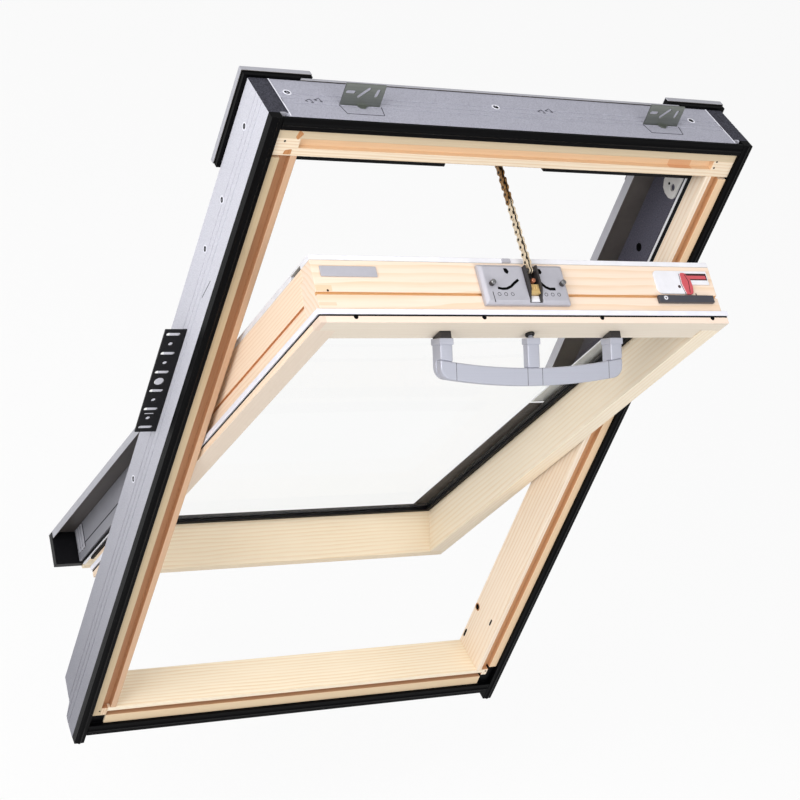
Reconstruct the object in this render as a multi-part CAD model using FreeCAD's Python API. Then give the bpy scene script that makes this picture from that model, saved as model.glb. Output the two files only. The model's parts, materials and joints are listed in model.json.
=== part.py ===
import FreeCAD, Part
import math
import os
from FreeCAD import Vector

os.makedirs("parts", exist_ok=True)

# Centre pivot roof window. A timber frame sits in an insulating collar, and a timber
# sash hangs in it on two pivots and stands open on its push chain.
# Window coordinates: x to the right seen from the room, y outwards, z up the roof slope,
# x = 0 in the middle, y = 0 on the frame's room face, z = 0 on the frame's lower edge.

# Frame timber
frame_width = 780.0
frame_height = 1180.0
head_face = 43.0
jamb_face = 40.0
sill_face = 37.0
outer_band = 15.0
groove_width = 15.0
groove_depth = 9.0
lip_depth = 13.0
core_inset = 11.0
core_depth = 96.0
inner_depth = 78.0
rebate_width = 20.0
rebate_front = 30.0
cover_rise = 60.0
head_groove_margin = 2.0
band_gap_top = 4.0
sill_band = 19.0
sill_groove = 10.0
sill_inset = 14.0
left_band_end = 20.0
right_band_end = 42.0
right_tongue_end = 23.0

# Insulating collar and its dark edge strip
collar_side = 17.0
collar_head = 19.0
collar_sill = 22.0
collar_foot = -40.0
foot_profile = ((40.0, 4.0), (50.0, 7.0), (56.0, 37.0), (97.0, 54.0))
scribe_lines = (36.0, 47.5, 59.0)
scribe_width = 1.6
scribe_depth = 1.2
trim_front = -5.0
trim_back = 10.0
head_trim_back = 1.0
trim_ridge = 2.0
ridge_width = 6.0
corner_recess = 3.0

# Fixing brackets: each passes through a slot in the collar, its leg on the timber core
plate = 2.5
flange_front = 47.0
flange_leg = 34.0
slot_play = 0.3
joggle = 0.5
side_flange = 33.5
hole_line = 19.0
side_end = 26.5
bracket_rise = 110.5
hole_pitch = 35.5
small_radius = 3.5
large_radius = 7.5
slot_width = 6.5
slot_length = 22.0
spare_slot = (-62.5, 15.5, 3.5)
tie_width = 6.0
tie_lengths = (15.0, 23.0, 14.0)
head_flange = 34.0
head_front = 40.0
head_bracket_width = 62.0
head_bracket_x = 257.0

# Sheet metal covers of the frame
sheet = 1.5
cover_back = 113.0
cover_lap = 52.0
cover_step = 13.0
corner_over = 8.0
corner_rise = 6.0
corner_height = 155.0
corner_lap = 43.0
corner_front = 105.0
corner_back = 115.0
cover_under = 20.0
head_cover_back = 101.0
head_cover_rise = 2.0
head_cover_lap = 15.0
flashing_back = 98.0
flashing_drop = 70.0

# Seals and linings of the upper frame
seal_back = 38.0
strip_back = 43.0
liner_front = 46.0
liner_proud = 1.0
head_seal_drop = 25.0
seal_gap_left = -95.0
seal_gap_right = 75.0
housing_back = 84.0
housing_drop = 19.0
guide_drop = 32.0
guide_height = 48.0
guide_depth = 38.0
guide_thick = 4.0
guide_hole = 6.0

# Sash, described in its own coordinates: x as above, y outwards from its room face,
# z measured down from its top edge as negative values
open_angle = 25.0
pivot_y = 101.0
closed_recess = 10.5
sash_drop = 54.7
sash_side_gap = 10.0
sash_foot = 52.3
foot_step = 60.0
outer_step = 39.0
sash_depth = 97.0
rim_over = 5.0
rim_rise = 3.0
rim_depth = 10.0
rim_seal = 2.5
rim_strip = 8.0
strip_over = 2.5
strip_rise = 1.0
top_inner = 53.0
top_step = 25.5
step_depth = 2.0
stile_face = 34.0
bottom_face = 20.0
glass_front = 81.5
gasket_seat = 80.0
reveal_flare = 12.0
slope_bottom = 11.0
glass_rebate = 9.0
glass_play = 1.0
glass_thick = 21.0
gasket_show = 8.5
gasket_lip = 3.0
finger_groove_y = 44.0
finger_groove_width = 4.0
finger_groove_depth = 4.0

# Metal on the outside of the sash
trim_lap = 41.0
trim_over_glass = 24.0
trim_seat = 103.0
trim_outer = 105.5
wing_gap = 6.0
wing_step = 4.0
wing_lap = 41.0
wing_front = 91.0
wing_foot = 18.0
side_trim_drop = 75.0
side_trim_front = 46.0
side_trim_thick = 9.0
bottom_cover_height = 81.0
cap_play = 3.0
cap_front = 44.0

# Pull bar: a flat bail that stands off the top rail, tipped down from square
bar_x = 8.0
bar_half = 145.0
bar_tip = 23.0
bar_root_y = -9.0
bar_root_z = -31.0
bar_near = 31.5
bar_bow = 11.0
bar_width = 26.0
bar_thick = 14.0
bar_corner = 18.0
leg_half = 10.0
leg_thick = 24.0
base_top = 29.0
base_bottom = 50.0
knob_radius = 6.5
knob_thick = 4.0
stem_radius = 3.0

# Push chain, its bracket and the lock case on the top rail
chain_x = 4.0
case_x = -8.0
case_half = 72.0
case_near = 27.0
case_far = 91.0
case_height = 11.0
case_bevel = 5.0
yoke_half = 11.0
yoke_wall = 3.0
yoke_near = 30.0
yoke_far = 86.0
yoke_height = 17.0
yoke_base = 2.0
pin_y = 80.0
pin_z = 9.0
pin_radius = 3.0
pin_play = 0.2
link_radius = 4.5
link_half = 4.0
link_pitch = 12.5
link_bar = 5.0
drive_pin_y = 78.0
drive_pin_drop = 11.0
drive_slot_half = 6.0

# Latch on the top rail
latch_left = 230.0
latch_right = 322.0
latch_near = 52.0
latch_far = 89.0
latch_thick = 2.5
bolt_left = 226.0
bolt_right = 328.0
bolt_near = 34.0
bolt_far = 46.0
bolt_height = 6.0
strip_left = -328.0
strip_right = -241.0
strip_near = 71.0
strip_far = 87.0

# Pivots
hinge_rise = 55.0
hinge_front = 60.0
hinge_back = 110.0
hinge_plate = 4.0
hinge_radius = 12.0
stub_radius = 5.0
seat = 0.2

half_width = frame_width / 2
opening_half = half_width - jamb_face
opening_top = frame_height - head_face
pivot_z = frame_height / 2
core_half = half_width - core_inset
core_top = frame_height - core_inset
collar_half = half_width + collar_side
collar_top = frame_height + collar_head
rebate_low = pivot_z + cover_rise
head_seal_low = opening_top - head_seal_drop
flange_half = collar_half + side_flange
bracket_middle = collar_half + hole_line
side_middle = pivot_z + bracket_rise
side_length = 4 * hole_pitch + 2 * side_end
origin_rise = 0.75 * hole_pitch
frame_origin = Vector(-bracket_middle, flange_front, side_middle + origin_rise)

cover_low = pivot_z + cover_rise
cover_inner = opening_half - cover_lap
cover_outer = collar_half - cover_step
corner_reach = collar_half + corner_over
corner_top = collar_top + corner_rise
corner_low = corner_top - corner_height
corner_inner = opening_half - corner_lap
head_cover_top = collar_top + head_cover_rise
head_cover_low = opening_top - head_cover_lap
flashing_inner = opening_half + rebate_width
flashing_top = pivot_z - flashing_drop

closed_top = opening_top - sash_drop
sash_top = -rim_rise
sash_half = opening_half - sash_side_gap
rim_half = sash_half + rim_over
strip_half = rim_half + strip_over
stile_inner = rim_half - stile_face
sash_length_outer = closed_top - sash_foot
sash_length = sash_length_outer - foot_step
bottom_inner = sash_length - bottom_face
trim_inner = sash_half - trim_lap
wing_inner = sash_half - wing_lap
wing_half = cover_outer - wing_step
trim_end = closed_top - pivot_z - cap_play
wing_start = trim_end + wing_gap
wing_end = sash_length_outer - wing_foot
side_trim_start = wing_start + side_trim_drop
bottom_cover_end = sash_length_outer + sheet
bottom_cover_top = bottom_cover_end - bottom_cover_height


def box(x0, x1, y0, y1, z0, z1):
    return Part.makeBox(x1 - x0, y1 - y0, z1 - z0, Vector(x0, y0, z0))


def along_x(points, x0, x1):
    """Solid with a (y, z) outline, running from x0 to x1."""
    corners = [Vector(x0, y, z) for y, z in points]
    return Part.Face(Part.makePolygon(corners + corners[:1])).extrude(Vector(x1 - x0, 0, 0))


def along_y(points, y0, y1):
    """Solid with an (x, z) outline, running from y0 to y1."""
    corners = [Vector(x, y0, z) for x, z in points]
    return Part.Face(Part.makePolygon(corners + corners[:1])).extrude(Vector(0, y1 - y0, 0))


def along_z(points, z0, z1):
    """Solid with an (x, y) outline, running from z0 to z1."""
    corners = [Vector(x, y, z0) for x, y in points]
    return Part.Face(Part.makePolygon(corners + corners[:1])).extrude(Vector(0, 0, z1 - z0))


def mirrored(shape):
    return shape.mirror(Vector(0, 0, 0), Vector(1, 0, 0))


def join(first, *others):
    shape = first
    for other in others:
        shape = shape.fuse(other)
    return shape.removeSplitter()


def rod_x(radius, x0, x1, y, z):
    return Part.makeCylinder(radius, x1 - x0, Vector(x0, y, z), Vector(1, 0, 0))


def rod_y(radius, y0, y1, x, z):
    return Part.makeCylinder(radius, y1 - y0, Vector(x, y0, z), Vector(0, 1, 0))


def slot_y(x, z, length, width, y0, y1, angle=0.0):
    """Round-ended slot cutter along y, its long axis turned by angle from x."""
    run = (length - width) / 2
    bar = box(-run, run, y0, y1, -width / 2, width / 2)
    ends = [rod_y(width / 2, y0, y1, side * run, 0) for side in (-1, 1)]
    cutter = join(bar, *ends)
    cutter.rotate(Vector(0, 0, 0), Vector(0, 1, 0), angle)
    cutter.translate(Vector(x, 0, z))
    return cutter


def hoop(half, top, bottom, width, y0, y1):
    """Closed rectangular ring in the sash plane, width measured inwards."""
    outer = box(-half, half, y0, y1, bottom, top)
    return outer.cut(box(-half + width, half - width, y0 - 1, y1 + 1, bottom + width, top - width))


def member_outline(face, depth, groove=groove_width, band=outer_band):
    """Frame section: distance from the opening, then y."""
    inner_band = face - groove - band
    outer_start = face - band
    core = face - core_inset
    return [
        (0, 0), (inner_band, 0), (inner_band, groove_depth), (outer_start, groove_depth),
        (outer_start, 0), (face, 0), (face, lip_depth), (core, lip_depth), (core, core_depth),
        (rebate_width, core_depth), (rebate_width, depth), (0, depth),
    ]


def frame_head():
    outline = [(y, opening_top + d) for d, y in member_outline(head_face, rebate_front)]
    head = along_x(outline, -half_width, half_width)
    groove_end = opening_half + head_groove_margin
    groove_low = opening_top + head_face - groove_width - outer_band
    for side in (-1, 1):
        x0, x1 = sorted((side * core_half, side * (half_width + 1)))
        head = head.cut(box(x0, x1, lip_depth, core_depth + 1, 0, frame_height + 1))
        x0, x1 = sorted((side * groove_end, side * half_width))
        head = head.fuse(box(x0, x1, 0, groove_depth, groove_low, groove_low + groove_width))
    return head.removeSplitter()


def frame_sill():
    """Lower member; its outer corners leave room for the jambs' ends."""
    section = member_outline(sill_face, inner_depth, sill_groove, sill_band)
    outline = [(y, sill_face - d) for d, y in section]
    sill = along_x(outline, -core_half, core_half)
    sill = sill.cut(box(-core_half, core_half, inner_depth, core_depth + 1, 0, sill_face))
    inset = opening_half + sill_inset
    for side in (-1, 1):
        x0, x1 = sorted((side * inset, side * half_width))
        sill = sill.cut(box(x0, x1, -1, lip_depth, -1, sill_face + 1))
    return sill


def right_jamb(band_end, tongue_end):
    """Jamb with its outer band ending at band_end and the tongue beside it at tongue_end."""
    outline = [(opening_half + d, y) for d, y in member_outline(jamb_face, inner_depth)]
    jamb = along_z(outline, sill_face, opening_top)
    rebate_outer = opening_half + rebate_width
    rebate = box(opening_half - 1, rebate_outer, rebate_front, core_depth + 1, rebate_low, opening_top + 1)
    band_x = half_width - outer_band
    tongue_x = opening_half + sill_inset
    top_gap = box(band_x, half_width + 1, -1, lip_depth, opening_top - band_gap_top, opening_top + 1)
    band = box(band_x, half_width, 0, lip_depth, 0, sill_face)
    tongue = box(tongue_x, band_x, 0, lip_depth, tongue_end, sill_face)
    short = box(band_x, half_width + 1, -1, lip_depth, -1, band_end)
    return join(jamb.cut(rebate).cut(top_gap), band, tongue).cut(short)


def collar_outline(core, rim, outer, front):
    """Collar section around a member: position across it, then y."""
    return [(rim, front), (outer, front), (outer, core_depth), (core, core_depth),
            (core, lip_depth), (rim, lip_depth)]


def scribed(block, along_head):
    """Cut the three level lines into the outer face of a collar block."""
    for y in scribe_lines:
        if along_head:
            cutter = box(-collar_half, collar_half, y, y + scribe_width, collar_top - scribe_depth, collar_top + 1)
        else:
            cutter = box(collar_half - scribe_depth, collar_half + 1, y, y + scribe_width,
                         collar_foot - 1, collar_top + 1)
        block = block.cut(cutter)
    return block


def collar_head_block():
    outline = [(y, z) for z, y in collar_outline(core_top, frame_height, collar_top, head_trim_back)]
    block = along_x(outline, -core_half, core_half)
    foot = box(-core_half, core_half, lip_depth, core_depth, core_top, frame_height)
    block = scribed(join(block, foot), True)
    for side in (-1, 1):
        block = block.cut(head_bracket_room(side * head_bracket_x))
    return block


def collar_sill_block():
    outline = [(trim_back, -collar_sill), (trim_back, 0), (lip_depth, 0), (lip_depth, core_inset),
               (core_depth, core_inset), (core_depth, -collar_sill)]
    return along_x(outline, -core_half, core_half)


def collar_right_block():
    block = along_z(collar_outline(core_half, half_width, collar_half, trim_back), collar_foot, collar_top)
    stepped = [(trim_back, collar_foot)] + [(y, collar_foot + rise) for y, rise in foot_profile]
    below = [(core_depth + 1, collar_foot - 1), (trim_back, collar_foot - 1)]
    block = block.cut(along_x(stepped + below, core_half - 1, collar_half + 1))
    return scribed(block.cut(side_bracket_room()), False)


def ridge_outline(near, far, back):
    """Edge strip section with a raised line in its middle: position across, then y."""
    middle = (near + far) / 2
    half = ridge_width / 2
    return [(near, back), (near, trim_front), (middle - half, trim_front),
            (middle, trim_front - trim_ridge), (middle + half, trim_front), (far, trim_front), (far, back)]


def edge_trims():
    """Four dark strips round the room edge of the collar."""
    side = along_z(ridge_outline(half_width, collar_half, trim_back), collar_foot, collar_top)
    head_points = [(y, z) for z, y in ridge_outline(frame_height, collar_top, head_trim_back)]
    sill_points = [(y, z) for z, y in ridge_outline(-collar_sill, 0, trim_back)]
    head = along_x(head_points, seat - half_width, half_width - seat)
    sill = along_x(sill_points, seat - half_width, half_width - seat)
    inner = opening_half + sill_inset + seat
    middle = half_width - outer_band
    for x0, x1, top in ((seat - half_width, -inner, left_band_end), (inner, middle, right_tongue_end),
                        (middle, half_width - seat, right_band_end)):
        sill = sill.fuse(box(x0, x1, corner_recess, lip_depth - seat, 0, top - seat))
    return [side, mirrored(side), head, sill.removeSplitter()]


def side_bracket_room():
    """Space that the side bracket takes inside the collar."""
    low = side_middle - side_length / 2 - slot_play
    high = side_middle + side_length / 2 + slot_play
    front = flange_front - slot_play
    flange = box(core_half, collar_half + 1, front, flange_front + joggle + plate + slot_play, low, high)
    leg = box(core_half, core_half + plate + slot_play, front, flange_front + flange_leg + slot_play, low, high)
    return join(flange, leg)


def right_bracket():
    """Bent plate screwed to the jamb's core; the flange lies on a rafter or batten."""
    low = side_middle - side_length / 2
    high = side_middle + side_length / 2
    back = flange_front + plate
    flange = box(collar_half + slot_play, flange_half, flange_front, back, low, high)
    tail = box(core_half, collar_half + 2 * plate, flange_front + joggle, back + joggle, low, high)
    leg = box(core_half, core_half + plate, flange_front + joggle, flange_front + flange_leg, low, high)
    bracket = join(flange, tail, leg)
    for step in (-2, -1, 1, 2):
        z = side_middle + step * hole_pitch
        bracket = bracket.cut(rod_y(small_radius, flange_front - 1, back + 1, bracket_middle, z))
    bracket = bracket.cut(rod_y(large_radius, flange_front - 1, back + 1, bracket_middle, side_middle))
    for step in (-2.5, -1.5, -0.5, 0.5, 1.5, 2.5):
        z = side_middle + step * hole_pitch
        cutter = slot_y(bracket_middle, z, slot_length, slot_width, flange_front - 1, back + 1)
        bracket = bracket.cut(cutter)
    drop, length, width = spare_slot
    spare = slot_y(bracket_middle, side_middle + drop, length, width, flange_front - 1, back + 1)
    return bracket.cut(spare)


def head_bracket_room(x):
    """Space that a head bracket takes inside the collar."""
    x0 = x - head_bracket_width / 2 - slot_play
    x1 = x + head_bracket_width / 2 + slot_play
    front = head_front - slot_play
    flange = box(x0, x1, front, head_front + plate + slot_play, core_top, collar_top + 1)
    leg = box(x0, x1, front, head_front + flange_leg + slot_play, core_top, core_top + plate + slot_play)
    return join(flange, leg)


def head_bracket(x):
    """Bent plate screwed to the head's core with its flange standing up."""
    x0 = x - head_bracket_width / 2
    x1 = x + head_bracket_width / 2
    back = head_front + plate
    flange = box(x0, x1, head_front, back, core_top, collar_top + head_flange)
    leg = box(x0, x1, head_front, head_front + flange_leg, core_top, core_top + plate)
    bracket = join(flange, leg)
    z = collar_top + head_flange * 0.6
    for place, angle, length in zip((-1, 0, 1), (0.0, -45.0, -80.0), tie_lengths):
        cutter = slot_y(x + place * head_bracket_width / 3, z, length, tie_width,
                        head_front - 1, back + 1, angle)
        bracket = bracket.cut(cutter)
    return bracket


def channel_cover():
    """Folded cover over the upper right jamb, standing on the collar's back."""
    top = corner_low + cover_under
    face = box(cover_inner, cover_outer, cover_back - sheet, cover_back, cover_low, top)
    flange = box(cover_outer - sheet, cover_outer, core_depth, cover_back, cover_low, top)
    lip = box(cover_inner, cover_inner + sheet, core_depth, cover_back, cover_low, top)
    return join(face, flange, lip)


def corner_cover():
    """Angled cap over the upper right corner, over the ends of its neighbours."""
    points = [(corner_inner, head_cover_low), (corner_inner, corner_top), (corner_reach, corner_top),
              (corner_reach, corner_low), (cover_inner, corner_low), (cover_inner, head_cover_low)]
    face = along_y(points, corner_back - sheet, corner_back)
    side = box(corner_reach - sheet, corner_reach, corner_front, corner_back, corner_low, corner_top)
    head = box(corner_inner, corner_reach, corner_front, corner_back, corner_top - sheet, corner_top)
    return join(face, side, head)


def corner_packing():
    """Black foam that fills the corner cover and lifts it off the collar."""
    outer = corner_reach - sheet - seat
    top = corner_top - sheet - seat
    back = corner_back - sheet
    overlap = cover_over_end()
    inner = opening_half + rebate_width + seat
    bend = opening_top + rebate_width + seat
    step = corner_low + cover_under
    points = [(cover_outer + seat, corner_low), (outer, corner_low), (outer, top), (overlap, top),
              (overlap, bend), (inner, bend), (inner, step), (cover_outer + seat, step)]
    body = along_y(points, core_depth, back)
    over_head = box(corner_inner, overlap, head_cover_back, back, bend, top)
    return join(body, over_head)


def cover_over_end():
    """Right end of the head cover and the seat gap beside it."""
    return corner_inner + cover_under + seat


def head_cover():
    reach = corner_inner + cover_under
    face = box(-reach, reach, head_cover_back - sheet, head_cover_back, head_cover_low, head_cover_top)
    flange = box(-reach, reach, core_depth - 1, head_cover_back, head_cover_top - sheet, head_cover_top)
    lip = box(-reach, reach, core_depth, head_cover_back, head_cover_low, head_cover_low + sheet)
    return join(face, flange, lip)


def lower_flashing():
    face = box(flashing_inner, cover_outer, core_depth, flashing_back, core_inset, flashing_top)
    lip = box(flashing_inner - sheet, flashing_inner, inner_depth, flashing_back, core_inset, flashing_top)
    return join(face, lip)


def sill_flashing():
    return box(-cover_outer, cover_outer, core_depth, flashing_back, -collar_sill, core_inset)


def head_seals():
    """Dark strips under the head, either side of the chain."""
    left = box(-opening_half, seal_gap_left, rebate_front, seal_back, head_seal_low, opening_top + rebate_width)
    right = box(seal_gap_right, opening_half, rebate_front, seal_back, head_seal_low, opening_top + rebate_width)
    return [left, right]


def jamb_seal():
    return box(opening_half, opening_half + rebate_width, rebate_front, seal_back, rebate_low, head_seal_low)


def jamb_strip():
    return box(opening_half, opening_half + rebate_width, seal_back, strip_back, rebate_low, head_seal_low)


def jamb_liner():
    return box(opening_half + liner_proud, opening_half + rebate_width, liner_front, cover_back - sheet,
               rebate_low, opening_top + rebate_width)


def guide_plate():
    """Curved striker plate high on the right liner, with an oval hole."""
    x1 = opening_half + liner_proud
    guide_top = opening_top - guide_drop
    low = guide_top - guide_height
    points = [(liner_front, guide_top), (liner_front + guide_depth, guide_top),
              (liner_front + guide_depth, low + 0.35 * guide_height),
              (liner_front + 0.85 * guide_depth, low + 0.12 * guide_height),
              (liner_front + 0.6 * guide_depth, low + 0.02 * guide_height),
              (liner_front + 0.3 * guide_depth, low), (liner_front + 0.08 * guide_depth, low + 0.06 * guide_height),
              (liner_front, low + 0.2 * guide_height)]
    blade = along_x(points, x1 - guide_thick, x1)
    return blade.cut(rod_x(guide_hole, x1 - guide_thick - 1, x1 + 1, liner_front + 12, low + 0.4 * guide_height))


def drive_housing():
    """Case of the chain drive behind the head, open below for the chain."""
    top = opening_top + rebate_width
    housing_low = opening_top - housing_drop
    case = box(seal_gap_left, seal_gap_right, rebate_front, housing_back, housing_low, top)
    left = chain_x - drive_slot_half
    right = chain_x + drive_slot_half
    pocket = box(left, right, rebate_front + 8, housing_back - 1, housing_low - 1, top - 4)
    pin = rod_x(pin_radius, left, right, drive_pin_y, opening_top - drive_pin_drop)
    return join(case.cut(pocket), pin)


def to_window(shape):
    """Turn a shape from sash coordinates into the open position."""
    shape.translate(Vector(0, closed_recess, closed_top))
    shape.rotate(Vector(0, pivot_y, pivot_z), Vector(1, 0, 0), open_angle)
    return shape


def sash_point(y, z):
    """Place of a sash coordinate pair in window coordinates."""
    spot = Part.Vertex(0, y, z)
    return to_window(spot).Point


def top_rail():
    groove_end = finger_groove_y + finger_groove_width
    groove_low = sash_top - finger_groove_depth
    sight = reveal_flare - top_inner
    outline = [
        (0, sash_top), (finger_groove_y, sash_top), (finger_groove_y, groove_low), (groove_end, groove_low),
        (groove_end, sash_top), (sash_depth, sash_top), (sash_depth, sight + glass_rebate),
        (gasket_seat, sight + glass_rebate), (gasket_seat, sight), (step_depth, -top_inner),
        (step_depth, -top_step), (0, -top_step),
    ]
    body = along_x(outline, -sash_half, sash_half)
    return join(body, box(-rim_half, rim_half, 0, rim_depth, -top_step, 0))


def bottom_rail():
    sight = slope_bottom - bottom_inner
    outline = [
        (0, -sash_length), (0, -bottom_inner), (gasket_seat, sight), (gasket_seat, sight - glass_rebate),
        (sash_depth, sight - glass_rebate), (sash_depth, -sash_length_outer), (outer_step, -sash_length_outer),
        (outer_step, -sash_length),
    ]
    return along_x(outline, -sash_half, sash_half)


def right_stile():
    sight = stile_inner + reveal_flare
    groove_end = finger_groove_y + finger_groove_width
    groove_in = sash_half - finger_groove_depth
    outline = [
        (stile_inner, 0), (sight, gasket_seat), (sight + glass_rebate, gasket_seat),
        (sight + glass_rebate, sash_depth), (sash_half, sash_depth), (sash_half, groove_end),
        (groove_in, groove_end), (groove_in, finger_groove_y), (sash_half, finger_groove_y),
        (sash_half, rim_depth), (rim_half, rim_depth), (rim_half, 0),
    ]
    stile = along_z(outline, -sash_length_outer, sash_top)
    foot = box(sash_half, rim_half + 1, -1, rim_depth + 1, -sash_length_outer - 1, -sash_length)
    return stile.cut(foot)


def stile_between_rails():
    """Stile cut to the profiles of the two rails, without the offcuts."""
    trimmed = right_stile().cut(top_rail()).cut(bottom_rail())
    return max(trimmed.Solids, key=lambda solid: solid.Volume)


def edge_strips():
    """Three pale strips round the room edge of the sash, on the timber behind its rim."""
    front = rim_depth + rim_seal
    back = front + rim_strip
    top = box(-strip_half, strip_half, front, back, sash_top, strip_rise)
    side = box(sash_half, strip_half, front, back, -sash_length, sash_top - seat)
    return [top, side, mirrored(side)]


def sash_seal():
    """Dark seal between the rim and the pale strips, on three sides."""
    back = rim_depth + rim_seal
    outer = box(-rim_half, rim_half, rim_depth, back, -sash_length, 0)
    return outer.cut(box(-sash_half, sash_half, rim_depth - 1, back + 1, -sash_length - 1, sash_top))


def glass_edges():
    half = stile_inner + reveal_flare + glass_rebate - glass_play
    top = reveal_flare + glass_rebate - glass_play - top_inner
    bottom = slope_bottom - bottom_inner - glass_rebate + glass_play
    return half, top, bottom


def glass_pane():
    half, top, bottom = glass_edges()
    return box(-half, half, glass_front, glass_front + glass_thick, bottom, top)


def glazing_gasket():
    half, top, bottom = glass_edges()
    hidden = glass_rebate - glass_play
    lean = hidden + reveal_flare * gasket_lip / gasket_seat
    seat_ring = hoop(half, top, bottom, hidden + gasket_show, gasket_seat, glass_front)
    bead = hoop(half - lean, top - lean, bottom + hidden, gasket_show, gasket_seat - gasket_lip, glass_front)
    return join(seat_ring, bead)


def outer_trims():
    """Three angle strips over the upper edges of the glass, on the timber's back."""
    sight = stile_inner + reveal_flare + glass_rebate
    outline = [(sight, sash_depth), (sash_half, sash_depth), (sash_half, trim_outer), (trim_inner, trim_outer),
               (trim_inner, trim_seat), (sight, trim_seat)]
    top_sight = reveal_flare + glass_rebate - top_inner
    top_reach = top_sight - glass_rebate - trim_over_glass
    side = along_z(outline, -trim_end, top_reach - seat)
    top_points = [(sash_depth, top_sight), (sash_depth, sash_top), (trim_outer, sash_top),
                  (trim_outer, top_reach), (trim_seat, top_reach), (trim_seat, top_sight)]
    top = along_x(top_points, -sash_half, sash_half)
    return [top, side, mirrored(side)]


def side_wing():
    """Wide cover along the lower right edge of the sash."""
    face = box(wing_inner, wing_half, trim_seat, trim_seat + sheet, -wing_end, -wing_start)
    flange = box(wing_half - sheet, wing_half, wing_front, trim_seat + sheet, -wing_end, -wing_start)
    return join(face, flange)


def side_trim():
    return box(sash_half, sash_half + side_trim_thick, side_trim_front, trim_seat, -wing_end, -side_trim_start)


def bottom_cover():
    """Cover across the foot of the sash, with a turned-down front edge."""
    inner = box(-wing_inner + seat, wing_inner - seat, trim_seat, trim_seat + sheet,
                -bottom_cover_end, -bottom_cover_top)
    outer = box(-wing_half, wing_half, trim_seat, trim_seat + sheet, -bottom_cover_end, -wing_end - seat)
    front = box(-sash_half, sash_half, outer_step + 4, trim_seat + sheet,
                -bottom_cover_end, -sash_length_outer)
    return join(inner, outer, front)


def end_cap():
    side = sash_half + seat
    return box(side, wing_half, cap_front, trim_seat, -sash_length_outer, -wing_end - cap_play)


def bail_outline(near, far, bow):
    """Half band between two arcs, from the left end to the right: x, then reach."""
    left = bar_x - bar_half - leg_half
    right = bar_x + bar_half + leg_half
    stations = [left + (right - left) * i / 24 for i in range(25)]
    rise = [bow * (1 - ((x - bar_x) / bar_half) ** 2) for x in stations]
    inner = [(x, near + up) for x, up in zip(stations, rise)]
    outer = [(x, far + up) for x, up in zip(stations, rise)]
    return inner + outer[::-1]


def tipped(shape):
    """Set a shape drawn with its reach along -y and its upper side at z = 0 on the rail."""
    shape.rotate(Vector(0, 0, 0), Vector(1, 0, 0), bar_tip)
    shape.translate(Vector(0, bar_root_y, bar_root_z))
    return shape


def flat_bar():
    points = [(x, -reach) for x, reach in bail_outline(bar_near, bar_near + bar_width, bar_bow)]
    bar = along_z(points, -bar_thick, 0)
    ends = [edge for edge in bar.Edges if abs(edge.BoundBox.ZLength - bar_thick) < 0.01]
    edge_x = bar_half + leg_half
    outer = [edge for edge in ends if abs(abs(edge.BoundBox.XMin - bar_x) - edge_x) < 0.01
             and edge.BoundBox.YMin < -bar_near - bar_width / 2]
    return bar.makeFillet(bar_corner, outer)


def pull_bar():
    return tipped(flat_bar())


def middle_leg():
    """Arm from the knob to the bar's inner edge, as thick as the bar."""
    blank = box(bar_x - leg_half, bar_x + leg_half, -bar_near - bar_bow - 1, 0, -bar_thick, 0)
    return max(blank.cut(flat_bar()).Solids, key=lambda solid: solid.BoundBox.YMax)


def right_leg():
    """Arm with a thicker heel that carries the bar's right end."""
    reach = bar_near + bar_width
    right = bar_x + bar_half + leg_half
    blank = box(right - 2 * leg_half, right, -reach, 0, -leg_thick, 0)
    corner = [edge for edge in blank.Edges if edge.BoundBox.YMax < 1 - reach and edge.BoundBox.XMin > right - 1]
    return blank.makeFillet(bar_corner, corner[:1]).cut(flat_bar())


def bar_legs():
    """Three arms of the bail."""
    right = right_leg()
    left = right.mirror(Vector(bar_x, 0, 0), Vector(1, 0, 0))
    return [tipped(leg) for leg in (left, middle_leg(), right)]


def leg_end():
    """Places of the upper and lower edge of an outer leg at its root: y, then z."""
    turn = math.radians(bar_tip)
    return ((bar_root_y, bar_root_z),
            (bar_root_y + leg_thick * math.sin(turn), bar_root_z - leg_thick * math.cos(turn)))


def bar_bases():
    """Square blocks under the outer legs and a turned knob under the middle one."""
    upper, lower = leg_end()
    outline = [(step_depth, -base_top), upper, lower, (step_depth, -base_bottom)]
    blocks = [along_x(outline, x - leg_half + 1, x + leg_half - 1) for x in (bar_x - bar_half, bar_x + bar_half)]
    turn = math.radians(bar_tip)
    knob_z = bar_root_z - bar_thick / 2 * math.cos(turn)
    knob = rod_y(knob_radius, step_depth - knob_thick, step_depth, bar_x, knob_z)
    stem_far = bar_root_y + bar_thick / 2 * math.sin(turn)
    stem = rod_y(stem_radius, stem_far - 1, step_depth - knob_thick, bar_x, knob_z)
    root = tipped(box(bar_x - leg_half, bar_x + leg_half, -bar_thick, 0, -bar_thick, 0))
    return blocks + [join(knob, stem.cut(root))]


def lock_case():
    """Bevelled case with a pocket for the chain bracket."""
    top = sash_top + case_height
    left = case_x - case_half
    right = case_x + case_half
    body = box(left, right, case_near, case_far, sash_top, top)
    upper = [edge for edge in body.Edges if edge.BoundBox.ZMin > top - 0.01]
    body = body.makeChamfer(case_bevel, upper)
    pocket = box(chain_x - yoke_half - seat, chain_x + yoke_half + seat, yoke_near - seat, case_far + 1,
                 sash_top, top + 1)
    return body.cut(pocket)


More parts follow.
